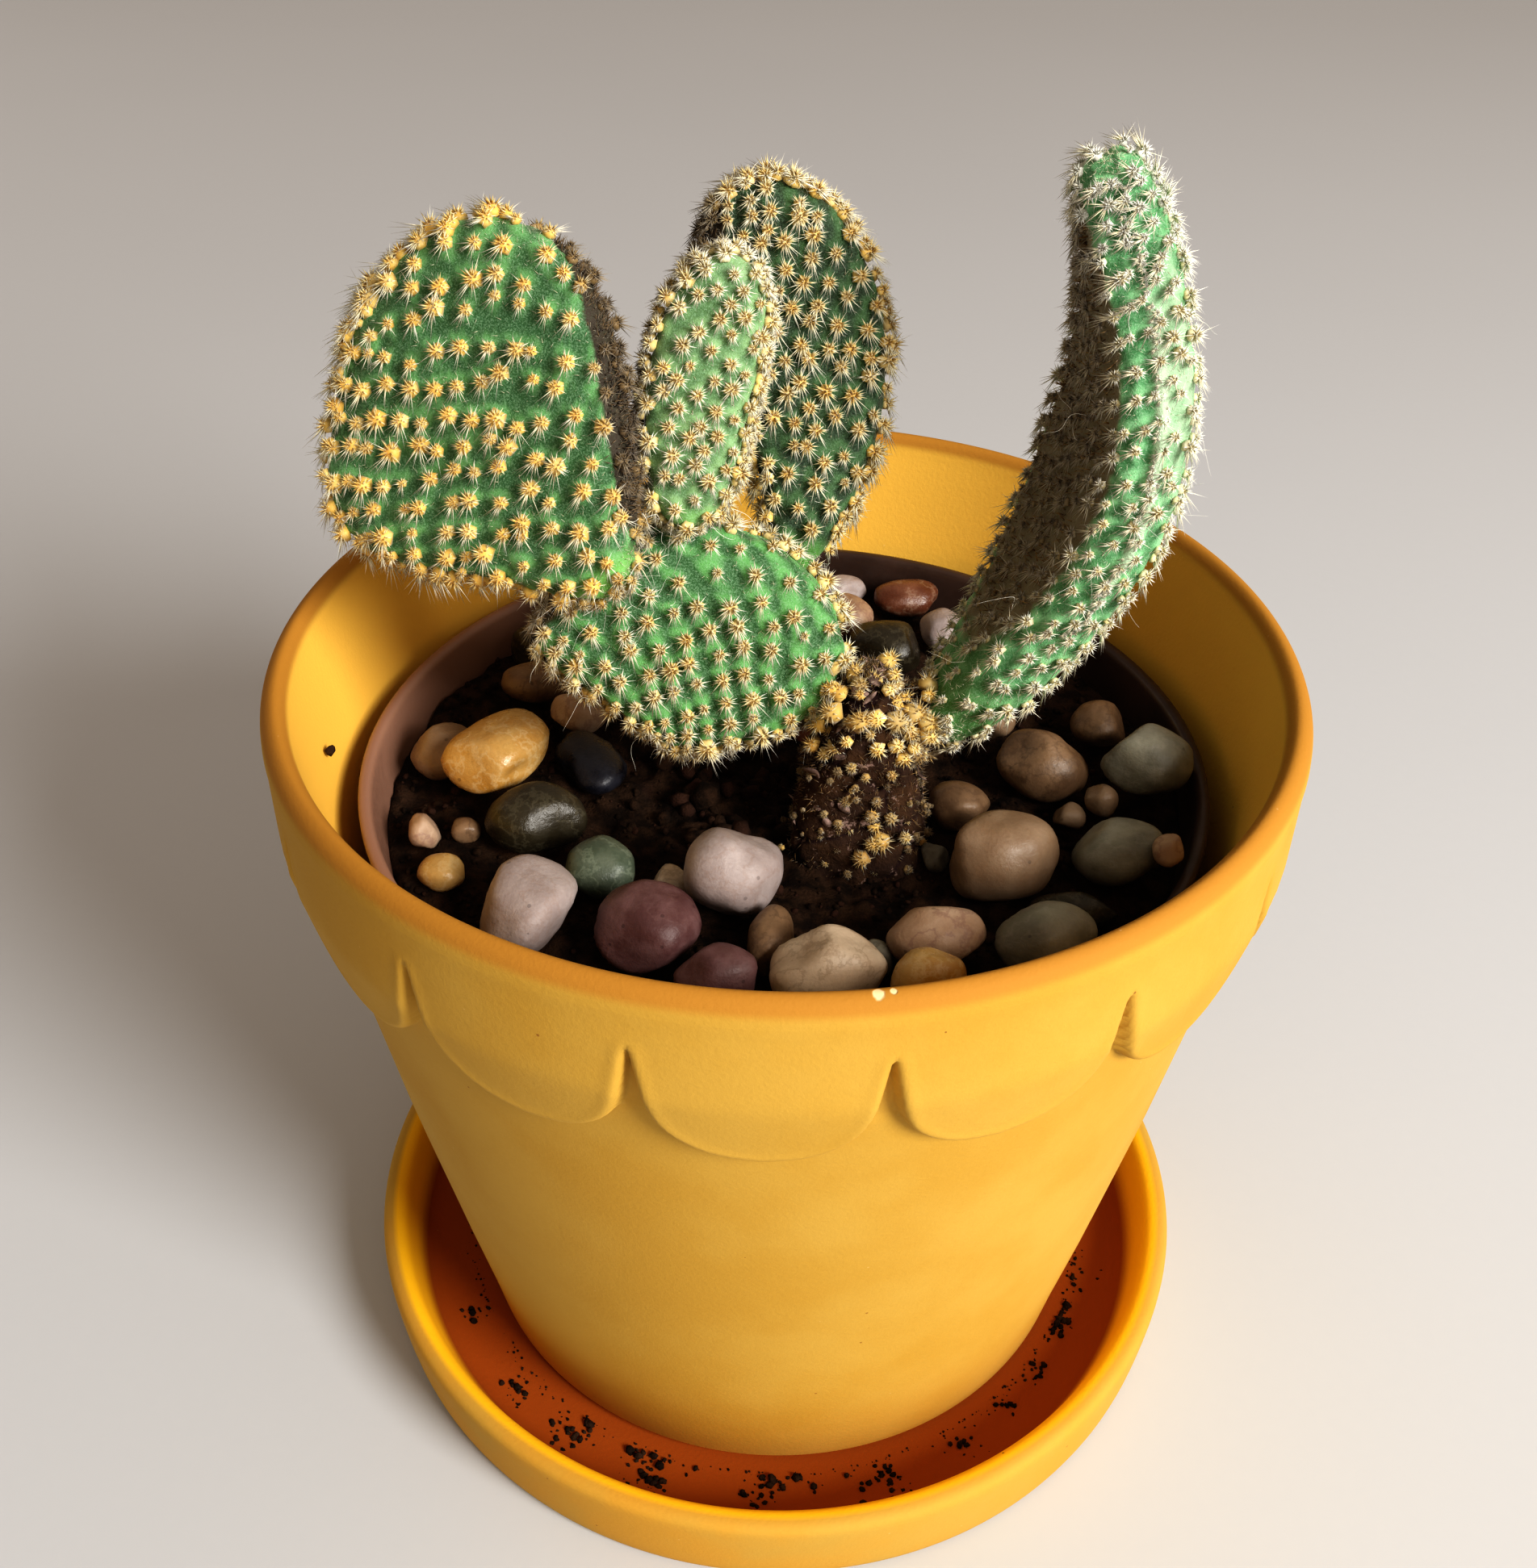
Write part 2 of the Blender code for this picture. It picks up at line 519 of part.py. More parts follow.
def settle(bm, bed, laid):
    """Lowers a pebble until it lies the clearance above the soil or an earlier pebble."""
    down = Vector((0.0, 0.0, -1.0))
    drops = [bed.ray_cast(vertex.co, down)[3] for vertex in bm.verts]
    tree = BVHTree.FromBMesh(bm)
    for other in laid:
        other_tree, corners = other
        drops += [other_tree.ray_cast(vertex.co, down)[3] for vertex in bm.verts]
        drops += [tree.ray_cast(corner, -down)[3] for corner in corners]
    fall = min(drop for drop in drops if drop is not None) - GAP
    bmesh.ops.translate(bm, vec=down * fall, verts=bm.verts)


def make_pebbles(soil, random):
    bm = bmesh.new()
    bm.from_mesh(soil.data)
    bmesh.ops.scale(bm, vec=(1 / MM, 1 / MM, 1 / MM), verts=bm.verts)
    bed = BVHTree.FromBMesh(bm)
    bm.free()
    laid = []
    for number, (kind, x, y, length, breadth, height, turn) in enumerate(PEBBLES, 1):
        bm = bmesh.new()
        bmesh.ops.create_icosphere(bm, subdivisions=1 if length < SMALL_PEBBLE else 2, radius=1.0)
        pebble_points(bm, length, breadth, height, turn, random)
        bmesh.ops.translate(bm, vec=(x, y, SOIL_LEVEL + 40.0), verts=bm.verts)
        settle(bm, bed, laid)
        laid.append((BVHTree.FromBMesh(bm), [vertex.co.copy() for vertex in bm.verts]))
        add_object(f"pebble_{number:02d}_{kind}", bm, kind)


def main():
    clear_scene()
    random = np.random.default_rng(SEED)
    make_saucer()
    make_pot()
    make_nursery_pot()
    soil = make_soil(random)
    trees = {name: smooth_body(segment) for name, segment in SEGMENTS.items()}
    for name in SEGMENTS:
        make_segment(name, trees, random)
    make_pebbles(soil, np.random.default_rng(SEED + 1))


main()
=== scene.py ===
import json
import math
import time

import bpy
import numpy as np
from mathutils import Matrix, Vector
from mathutils.bvhtree import BVHTree

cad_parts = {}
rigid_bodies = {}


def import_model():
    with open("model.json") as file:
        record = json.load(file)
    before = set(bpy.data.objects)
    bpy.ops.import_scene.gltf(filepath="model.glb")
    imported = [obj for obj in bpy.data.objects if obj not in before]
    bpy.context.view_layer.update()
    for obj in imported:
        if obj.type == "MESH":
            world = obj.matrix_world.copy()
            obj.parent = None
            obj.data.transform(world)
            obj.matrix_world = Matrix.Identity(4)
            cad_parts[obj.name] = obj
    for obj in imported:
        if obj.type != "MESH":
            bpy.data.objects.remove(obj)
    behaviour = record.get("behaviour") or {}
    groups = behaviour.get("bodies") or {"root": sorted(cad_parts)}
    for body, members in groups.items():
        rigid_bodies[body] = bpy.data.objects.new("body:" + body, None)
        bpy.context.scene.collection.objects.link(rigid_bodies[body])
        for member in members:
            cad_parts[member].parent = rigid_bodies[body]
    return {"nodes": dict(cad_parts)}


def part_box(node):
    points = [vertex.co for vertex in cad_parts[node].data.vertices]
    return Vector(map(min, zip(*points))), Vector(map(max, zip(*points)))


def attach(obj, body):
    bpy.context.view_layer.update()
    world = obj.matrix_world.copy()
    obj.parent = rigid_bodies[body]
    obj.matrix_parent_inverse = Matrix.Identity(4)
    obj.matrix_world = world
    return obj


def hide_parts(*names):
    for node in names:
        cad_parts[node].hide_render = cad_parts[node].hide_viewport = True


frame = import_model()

startTime = time.time()
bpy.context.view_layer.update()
pebbleNames = sorted(name for name in frame["nodes"] if name.startswith("pebble_"))
mm = 0.001
fullTurn = 2.0 * math.pi
goldenShare = (math.sqrt(5.0) - 1.0) / 2.0


def report(stage):
    print(f"[{time.time() - startTime:5.1f} s] {stage}")


# arrays and meshes

stirNumbers = {"corner": (73856093, 19349663, 83492791), "seed": 2654435761,
               "steps": ((15, 2246822519), (13, 3266489917))}


def lumpNoise(points, size, seed):
    # random values from -1 to 1 on a cubic lattice of the given size, with smooth steps between its corners
    cell = points / size
    low = np.floor(cell).astype(np.int64)
    part = cell - low
    part = part * part * (3.0 - 2.0 * part)
    total = np.zeros(len(points))
    for corner in np.ndindex(2, 2, 2):
        key = (low + corner) @ np.array(stirNumbers["corner"]) + seed * stirNumbers["seed"]
        for shift, factor in stirNumbers["steps"]:
            key = ((key ^ (key >> shift)) * factor) & 0xFFFFFFFF
        value = ((key >> 8) & 0xFFFF) / 32767.5 - 1.0
        total += value * np.prod(np.where(np.array(corner) == 1, part, 1.0 - part), axis=1)
    return total


def smoothStep(low, high, value):
    # 0 below low and 1 above high, and 3 s^2 - 2 s^3 of the share s between them
    share = np.clip((value - low) / (high - low), 0.0, 1.0)
    return share * share * (3.0 - 2.0 * share)


def unitVectors(vectors):
    # each vector divided by its own length
    return vectors / np.maximum(np.linalg.norm(vectors, axis=-1, keepdims=True), 1e-12)


def tangents(normal):
    # two directions square to each normal and to each other
    hint = np.where(np.abs(normal[..., 2:3]) > 0.9, (1.0, 0.0, 0.0), (0.0, 0.0, 1.0))
    side = unitVectors(np.cross(normal, hint))
    return side, np.cross(normal, side)


def cutCorners(path, passes=2, closed=False):
    # each pass puts two points at a quarter and three quarters of every stretch
    path = np.asarray(path, float)
    for _ in range(passes):
        after = np.roll(path, -1, axis=0) if closed else path[1:]
        before = path if closed else path[:-1]
        cut = np.stack((before * 0.75 + after * 0.25, before * 0.25 + after * 0.75), axis=1)
        cut = cut.reshape(-1, path.shape[1])
        path = cut if closed else np.concatenate((path[:1], cut, path[-1:]))
    return path


def gridFaces(rows, columns, wrapRows=False):
    # quads between rings of points that are closed on themselves
    row = np.arange(rows if wrapRows else rows - 1)[:, None]
    here = np.arange(columns)[None, :]
    there = (here + 1) % columns
    after = (row + 1) % rows * columns
    row = row * columns
    return np.stack((row + here, row + there, after + there, after + here), axis=-1).reshape(-1, 4)


def closedRings(rings):
    # rings (rows, columns, 3) with a pole put at the middle of the first and the last ring
    rows, columns, _ = rings.shape
    points = np.concatenate((rings.reshape(-1, 3), rings[:1].mean(axis=1), rings[-1:].mean(axis=1)))
    here = np.arange(columns)
    there = (here + 1) % columns
    low = np.stack((np.full(columns, rows * columns), there, here), axis=1)
    last = (rows - 1) * columns
    high = np.stack((np.full(columns, rows * columns + 1), last + here, last + there), axis=1)
    return points, [gridFaces(rows, columns), low, high]


def facingOut(points, faceLists):
    # turns all faces round if the volume that they enclose comes out negative
    volume = 0.0
    for faces in faceLists:
        first = points[faces[:, 0]]
        for k in range(1, faces.shape[1] - 1):
            volume += np.einsum("ij,ij->", first, np.cross(points[faces[:, k]], points[faces[:, k + 1]]))
    return faceLists if volume > 0 else [faces[:, ::-1] for faces in faceLists]


def addPiece(name, points, faceLists, material, values=None, replaces=()):
    # millimetre points and face arrays become a mesh in metres, with one number a point for each attribute
    mesh = bpy.data.meshes.new(name)
    corners = np.concatenate([faces.ravel() for faces in faceLists]).astype(np.int32)
    sizes = np.concatenate([np.full(len(faces), faces.shape[1]) for faces in faceLists])
    starts = np.concatenate(([0], np.cumsum(sizes)[:-1])).astype(np.int32)
    mesh.vertices.add(len(points))
    mesh.vertices.foreach_set("co", (points * mm).astype(np.float32).ravel())
    mesh.loops.add(len(corners))
    mesh.loops.foreach_set("vertex_index", corners)
    mesh.polygons.add(len(sizes))
    mesh.polygons.foreach_set("loop_start", starts)
    mesh.polygons.foreach_set("use_smooth", np.ones(len(sizes), bool))
    for key, numbers in (values or {}).items():
        numbers = numbers.astype(np.float32).ravel()
        mesh.attributes.new(key, "FLOAT", "POINT").data.foreach_set("value", numbers)
    mesh.update(calc_edges=True)
    mesh.validate()
    mesh.materials.append(material)
    piece = bpy.data.objects.new(name, mesh)
    bpy.context.scene.collection.objects.link(piece)
    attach(piece, "root")
    if replaces:
        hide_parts(*replaces)


def repeatShape(shape, faces, count):
    # face numbers of a small shape of so many points, repeated one after another
    return (np.arange(count)[:, None, None] * shape + faces[None]).reshape(-1, faces.shape[1])


def joinParts(parts):
    # parts of points, face arrays and values become one, with the faces counted on from part to part
    starts = np.cumsum([0] + [len(points) for points, _, _ in parts])
    faceLists = [faces + start for start, part in zip(starts, parts) for faces in part[1]]
    values = {key: np.concatenate([part[2][key] for part in parts]) for key in parts[0][2]}
    return np.concatenate([part[0] for part in parts]), faceLists, values


def waver(points, amount, size, seed, radius):
    # moves points in and out from the axis by up to the amount, in soft swells of the size
    points[:, :2] *= 1.0 + amount * lumpNoise(points, size, seed)[:, None] / radius


def onTurn(radius, angle, height):
    # points at a radius from the pot's axis, turned by an angle from the front, at a height
    return np.stack(np.broadcast_arrays(radius * np.sin(angle), -radius * np.cos(angle), height), axis=-1)


# shader helpers

def put(tree, kind, values=None, **settings):
    # adds a node; a value that is a socket is linked, any other is typed in
    made = tree.nodes.new(kind)
    for key, value in settings.items():
        setattr(made, key, value)
    for key, value in (values or {}).items():
        if isinstance(value, bpy.types.NodeSocket):
            tree.links.new(value, made.inputs[key])
        else:
            made.inputs[key].default_value = value
    return made


def blendColours(tree, share, first, second, way="MIX"):
    made = put(tree, "ShaderNodeMix", {0: share}, data_type="RGBA", blend_type=way, clamp_factor=True)
    for key, value in ((6, first), (7, second)):
        if isinstance(value, bpy.types.NodeSocket):
            tree.links.new(value, made.inputs[key])
        else:
            made.inputs[key].default_value = (*value[:3], 1.0)
    return made.outputs[2]


def maths(tree, way, *values):
    return put(tree, "ShaderNodeMath", dict(enumerate(values)), operation=way).outputs[0]


def readMask(tree, name):
    # a number that the mesh carries at every point
    return put(tree, "ShaderNodeAttribute", attribute_name=name).outputs["Fac"]


def ranged(tree, value, low, high, toLow=0.0, toHigh=1.0, smooth=True):
    # the value's share between low and high, carried over to the other two numbers
    made = put(tree, "ShaderNodeMapRange", {0: value, 1: low, 2: high, 3: toLow, 4: toHigh}, clamp=True)
    made.interpolation_type = "SMOOTHSTEP" if smooth else "LINEAR"
    return made.outputs[0]


def noiseValue(tree, place, scale, detail=3.0, rough=0.55):
    given = {"Vector": place, "Scale": scale, "Detail": detail, "Roughness": rough}
    return put(tree, "ShaderNodeTexNoise", given).outputs["Fac"]


def colourRamp(tree, value, stops):
    made = put(tree, "ShaderNodeValToRGB", {0: value})
    band = made.color_ramp.elements
    while len(band) < len(stops):
        band.new(0.5)
    for stop, (place, colour) in zip(band, stops):
        stop.position = place
        stop.color = (*colour, 1.0)
    return made.outputs[0]


def newGroup(name, inputs, outputs):
    # a node group with named sockets: label, kind and value of each input, label and kind of each output
    group = bpy.data.node_groups.new(name, "ShaderNodeTree")
    for label, kind, value in inputs:
        socket = group.interface.new_socket(label, in_out="INPUT", socket_type=kind)
        if value is not None:
            socket.default_value = value
    for label, kind in outputs:
        group.interface.new_socket(label, in_out="OUTPUT", socket_type=kind)
    return group, group.nodes.new("NodeGroupInput").outputs, group.nodes.new("NodeGroupOutput").inputs


def newMaterial(name, **constants):
    # a material with its own shader, whose sockets that are the same all over are typed in here
    material = bpy.data.materials.new(name)
    material.use_nodes = True
    tree = material.node_tree
    shader = tree.nodes["Principled BSDF"]
    for key, value in constants.items():
        shader.inputs[key.replace("_", " ")].default_value = value
    place = put(tree, "ShaderNodeTexCoord").outputs["Object"]
    return material, tree, shader, place


def bumpInto(tree, shader, height, distance):
    # height is in millimetres of relief for a distance of one millimetre
    bump = put(tree, "ShaderNodeBump", {"Height": height, "Distance": distance * mm, "Strength": 1.0})
    tree.links.new(bump.outputs[0], shader.inputs["Normal"])


def linkGroup(tree, group, values):
    # a group's node with its inputs linked or typed in; a colour of three numbers gets a fourth
    made = tree.nodes.new("ShaderNodeGroup")
    made.node_tree = group
    for key, value in values.items():
        if isinstance(value, bpy.types.NodeSocket):
            tree.links.new(value, made.inputs[key])
        else:
            isColour = isinstance(value, tuple) and len(value) == 3
            made.inputs[key].default_value = (*value, 1.0) if isColour else value
    return made.outputs


def buildMottle():
    # two colours in soft patches, with fine grain over them, and the grain's height
    group, given, out = newGroup("mottle", [
        ("Place", "NodeSocketVector", None), ("First", "NodeSocketColor", (0.5, 0.5, 0.5, 1.0)),
        ("Second", "NodeSocketColor", (0.3, 0.3, 0.3, 1.0)), ("Patch Scale", "NodeSocketFloat", 60.0),
        ("Grain Scale", "NodeSocketFloat", 1500.0), ("Grain", "NodeSocketFloat", 0.15)],
        [("Color", "NodeSocketColor"), ("Height", "NodeSocketFloat")])
    patches = noiseValue(group, given["Place"], given["Patch Scale"], 4.0)
    share = ranged(group, patches, 0.35, 0.68)
    colour = blendColours(group, share, given["First"], given["Second"])
    grain = noiseValue(group, given["Place"], given["Grain Scale"], 4.0, 0.65)
    lift = maths(group, "MULTIPLY_ADD", maths(group, "SUBTRACT", grain, 0.5), given["Grain"], 1.0)
    tone = put(group, "ShaderNodeCombineColor", {0: lift, 1: lift, 2: lift}).outputs[0]
    group.links.new(blendColours(group, 1.0, colour, tone, "MULTIPLY"), out["Color"])
    group.links.new(grain, out["Height"])
    return group


def buildSpecks():
    # scattered round spots: a mask that is 1 inside a spot, for a share of the cells
    group, given, out = newGroup("specks", [
        ("Place", "NodeSocketVector", None), ("Scale", "NodeSocketFloat", 300.0),
        ("Size", "NodeSocketFloat", 0.12), ("Share", "NodeSocketFloat", 0.3)],
        [("Mask", "NodeSocketFloat")])
    cells = put(group, "ShaderNodeTexVoronoi", {"Vector": given["Place"], "Scale": given["Scale"]})
    near = maths(group, "LESS_THAN", cells.outputs["Distance"], given["Size"])
    pick = put(group, "ShaderNodeSeparateColor", {0: cells.outputs["Color"]}).outputs[0]
    chosen = maths(group, "LESS_THAN", pick, given["Share"])
    group.links.new(maths(group, "MULTIPLY", near, chosen), out["Mask"])
    return group


mottle = buildMottle()
specks = buildSpecks()


def mottled(tree, place, first, second, patchScale, grainScale, grain):
    # the mottle group with one finish's own colours, scales and strength of grain
    return linkGroup(tree, mottle, {"Place": place, "First": first, "Second": second, "Patch Scale": patchScale,
                                    "Grain Scale": grainScale, "Grain": grain})


def speckMask(tree, place, scale, size, share):
    # 1 inside a round spot of so many cells a metre
    return linkGroup(tree, specks, {"Place": place, "Scale": scale, "Size": size, "Share": share})["Mask"]


# camera, light and floor

stageLook = {
    "cameraPlace": (-0.0019, -0.1692, 0.2117), "pitch": 0.648, "roll": 0.014, "lens": 39.41, "sensor": 36.0,
    "aim": (0.0, 0.0, 0.08),   # both lights point at it
    "keyPlace": (0.71, -0.72, 0.68), "keySize": 0.48, "keyPower": 14.5, "keyColour": (1.0, 0.98, 0.94),
    "fillPlace": (-0.75, 0.55, 0.35), "fillSize": 0.7, "fillPower": 0.5, "fillColour": (1.0, 0.95, 0.9),
    "skyColour": (1.0, 0.82, 0.66), "skyStrength": 0.28, "skyFrom": (0.76, -0.42, 0.50), "skyBias": 0.75,
    "floorColour": (0.60, 0.625, 0.66), "floorReach": (0.02, 6.0), "floorRings": 24, "floorColumns": 64,
}


def addLight(look, name):
    # a round soft lamp that points at the aim
    lamp = bpy.data.lights.new(f"{name}_light", "AREA")
    lamp.shape = "DISK"
    lamp.size = look[f"{name}Size"]
    lamp.energy = look[f"{name}Power"]
    lamp.color = look[f"{name}Colour"]
    place = Vector(look[f"{name}Place"])
    item = bpy.data.objects.new(f"{name}_light", lamp)
    item.location = place
    item.rotation_euler = (Vector(look["aim"]) - place).to_track_quat("-Z", "Y").to_euler()
    bpy.context.scene.collection.objects.link(item)


def addCamera(look):
    # it looks down by the pitch, and is rolled about the way that it looks
    forward = Vector((0.0, math.cos(look["pitch"]), -math.sin(look["pitch"])))
    up = Vector((0.0, math.sin(look["pitch"]), math.cos(look["pitch"])))
    right = Vector((1.0, 0.0, 0.0))
    cosine, sine = math.cos(look["roll"]), math.sin(look["roll"])
    right, up = right * cosine + up * sine, up * cosine - right * sine
    turn = Matrix((right, up, -forward)).transposed().to_4x4()
    data = bpy.data.cameras.new("camera")
    data.lens = look["lens"]
    data.sensor_width = look["sensor"]
    data.sensor_fit = "AUTO"
    data.clip_start = 0.01
    camera = bpy.data.objects.new("camera", data)
    camera.matrix_world = Matrix.Translation(look["cameraPlace"]) @ turn
    bpy.context.scene.collection.objects.link(camera)
    bpy.context.scene.camera = camera


def buildRoom(look):
    # pale light from all round, brighter on the side of the window
    world = bpy.data.worlds.new("pale_room")
    world.use_nodes = True
    tree = world.node_tree
    sky = tree.nodes["Background"]
    sky.inputs[0].default_value = (*look["skyColour"], 1.0)
    way = put(tree, "ShaderNodeTexCoord").outputs["Generated"]
    near = put(tree, "ShaderNodeVectorMath", {0: way, 1: look["skyFrom"]}, operation="DOT_PRODUCT")
    power = maths(tree, "MULTIPLY_ADD", near.outputs["Value"], look["skyStrength"] * look["skyBias"],
                  look["skyStrength"])
    tree.links.new(power, sky.inputs[1])
    bpy.context.scene.world = world


def buildFloor(look):
    # a flat disk of rings, wide enough to reach past every view's edge
    material, tree, shader, place = newMaterial("pale_floor", Roughness=0.8)
    pale, rows, columns = look["floorColour"], look["floorRings"], look["floorColumns"]
    made = mottled(tree, place, pale, tuple(c * 0.985 for c in pale), 3.0, 400.0, 0.02)
    tree.links.new(made["Color"], shader.inputs["Base Color"])
    radius = np.geomspace(*look["floorReach"], rows)[:, None]
    here = np.arange(columns)
    angle = np.linspace(0.0, fullTurn, columns, endpoint=False)
    rings = np.stack((radius * np.cos(angle), radius * np.sin(angle), np.zeros((rows, columns))), axis=-1)
    points = np.concatenate((rings.reshape(-1, 3), [(0.0, 0.0, 0.0)]))
    hub = np.stack((np.full(columns, rows * columns), here, (here + 1) % columns), axis=1)
    mesh = bpy.data.meshes.new("floor")
    mesh.from_pydata(points.tolist(), [], gridFaces(rows, columns)[:, ::-1].tolist() + hub.tolist())
    mesh.materials.append(material)
    floor = bpy.data.objects.new("floor", mesh)
    bpy.context.scene.collection.objects.link(floor)


def buildStage(look):
    settings = bpy.context.scene.view_settings
    settings.view_transform = "Standard"
    settings.look = "High Contrast"
    addCamera(look)
    for name in ("key", "fill"):
        addLight(look, name)
    buildRoom(look)
    buildFloor(look)


buildStage(stageLook)
report("stage")


# painted clay: pot and saucer

clayLook = {
    "paint": (0.53, 0.315, 0.050), "worn": (0.565, 0.355, 0.070), "pit": (0.30, 0.12, 0.02),
    # the inner colours are painted light on the inner walls of pot and saucer, and the floor colour painted
    # shade on the saucer's floor
    "chip": (0.86, 0.66, 0.38), "lip": (0.47, 0.23, 0.036), "inner": (0.90, 0.55, 0.100),
    "floor": (0.34, 0.080, 0.006), "saucerPaint": (0.62, 0.34, 0.050), "saucerPaintedBounce": (1.0, 0.58, 0.016),
    "roughness": 0.78, "gloss": 0.3, "patchScale": 45.0, "grainScale": 1800.0, "grain": 0.07, "relief": 0.05,
    "pits": (210.0, 0.035, 0.28), "dust": (420.0, 0.05, 0.12),   # scale, size and share of the cells
    # chips: place in millimetres and size
    "chips": ((8.2, -57.9, 104.0, 0.9), (9.6, -57.6, 104.1, 0.5), (-4.6, -59.3, 102.6, 0.35)),
}


def clayMaterial(name, look, paint, inner, chips=()):
    # matte paint on fired clay: soft patches, fine tooth, pin holes and a few chips at given places; three
    # vertex masks carry the thinner paint of the lip, painted light on the inner walls and painted shade on the
    # saucer's floor
    material, tree, shader, place = newMaterial(name, Roughness=look["roughness"],
                                                Specular_IOR_Level=look["gloss"])
    made = mottled(tree, place, paint, look["worn"], look["patchScale"], look["grainScale"], look["grain"])
    colour = made["Color"]
    # the inner mask paints light on the inner walls, and the floor mask paints shade on the saucer's floor
    for mask, tint in (("lip", look["lip"]), ("inner", inner), ("floor", look["floor"])):
        colour = blendColours(tree, readMask(tree, mask), colour, tint)
    pits, dust = (speckMask(tree, place, *look[kind]) for kind in ("pits", "dust"))
    colour = blendColours(tree, maths(tree, "MULTIPLY", pits, 0.75), colour, look["pit"])
    colour = blendColours(tree, maths(tree, "MULTIPLY", dust, 0.25), colour, look["chip"])
    height = maths(tree, "MULTIPLY_ADD", pits, -0.8, made["Height"])
    warp = noiseValue(tree, place, 700.0, 2.0)
    for x, y, z, size in chips:
        spot = (x * mm, y * mm, z * mm)
        away = put(tree, "ShaderNodeVectorMath", {0: place, 1: spot}, operation="DISTANCE").outputs["Value"]
        edge = maths(tree, "MULTIPLY_ADD", warp, size * 1.1 * mm, away)
        mask = ranged(tree, edge, size * 0.9 * mm, size * 1.25 * mm, 1.0, 0.0)
        colour = blendColours(tree, mask, colour, look["chip"])
        height = maths(tree, "MULTIPLY_ADD", mask, -1.5, height)
    tree.links.new(colour, shader.inputs["Base Color"])
    bumpInto(tree, shader, height, look["relief"])
    return material


potShape = {
    # height and radius up the wall
    "body": ((5.4, 42.7), (12.0, 43.9), (25.0, 46.5), (50.0, 51.1), (79.0, 56.0), (88.0, 57.6), (96.0, 58.6)),
    # radius and height under the foot, over the lip and down the inside
    "foot": ((6.0, 4.3), (41.2, 4.3), (42.4, 4.9)),
    "lip": ((60.0, 101.2), (59.9, 102.6), (59.3, 103.7), (58.3, 104.3), (57.5, 103.9), (56.9, 102.8),
            (56.7, 101.4)),
    "inside": ((54.3, 88.0), (47.3, 50.0), (40.3, 13.0), (39.4, 10.2), (37.4, 9.0), (6.0, 9.0)),
    "lobes": 15, "firstNotch": math.radians(-14.3), "columns": 32, "crowding": 0.68,
    "waver": (0.1, 23.0, 5, 60.0),   # amount, size, seed and the radius that it is measured at
    # the collar's radius, how fast it draws in below its widest height, how soon it stands out behind the
    # edge of a lobe, the roll of that edge, and the depth of a notch
    "collar": 59.9, "drawIn": 0.2, "widest": 90.0, "roll": 0.12, "rollPlace": 0.95, "rollWidth": 0.55,
    "rounding": 0.85, "roundPower": 2.4, "notchDepth": 0.3,
    # share of the way from a lobe's middle to the notch, and the edge's height there
    "edge": ((0.0, 81.0), (0.35, 81.5), (0.56, 82.7), (0.73, 84.4), (0.84, 86.4), (0.905, 88.6), (0.95, 92.0),
             (1.0, 96.0)),
    # level rows, rows that follow the lobes' edge by these offsets, rows that come level again, and level rows
    "lowRows": (5.4, 77.6, 12), "followTop": 86.0,
    "edgeRows": (-2.6, -1.8, -1.2, -0.8, -0.5, *np.linspace(-0.3, 1.3, 12), 1.7, 2.2),
    "highTop": 97.5, "highRows": 12, "lipRows": (98.1, 98.7, 99.3, 99.8),
    "edgeRadius": 58.0, "edgeSteps": 900,   # where and how finely the lobes' edge is measured
}


def lobeEdge(shape, share):
    # height of the collar's lower edge, from a lobe's middle at 0 to the notches at -1 and 1
    across, height = np.array(cutCorners(shape["edge"], 3)).T
    return np.interp(np.abs((share + 1.0) % 2.0 - 1.0), across, height)


def edgeDistance(shape, across, height):
    # signed distance to the lobes' edge, positive on the collar, from the nearest of many points along it
    half = shape["edgeRadius"] * math.pi / shape["lobes"]   # half a lobe's width in millimetres
    share = np.linspace(-1.0, 1.25, shape["edgeSteps"])
    line = np.stack((share * half, lobeEdge(shape, share)), axis=1)
    folded = np.abs((across + 1.0) % 2.0 - 1.0)
    spot = np.stack((folded * half, height), axis=-1)
    gap = np.linalg.norm(spot[..., None, :] - line, axis=-1).min(axis=-1)
    return np.where(height > lobeEdge(shape, across), gap, -gap)


def rowHeights(shape, edge):
    # rows start level, follow the lobes' lower ends, and come level again below the lip
    level = np.ones(len(edge))
    follow = np.minimum(edge, shape["followTop"])
    rows = [height * level for height in np.linspace(*shape["lowRows"])]
    rows += [follow + offset for offset in shape["edgeRows"]]
    last = rows[-1]
    steps = np.linspace(0.0, 1.0, shape["highRows"] + 1)[1:]
    rows += [last + (shape["highTop"] - last) * part for part in steps]
    return np.array(rows + [height * level for height in shape["lipRows"]])


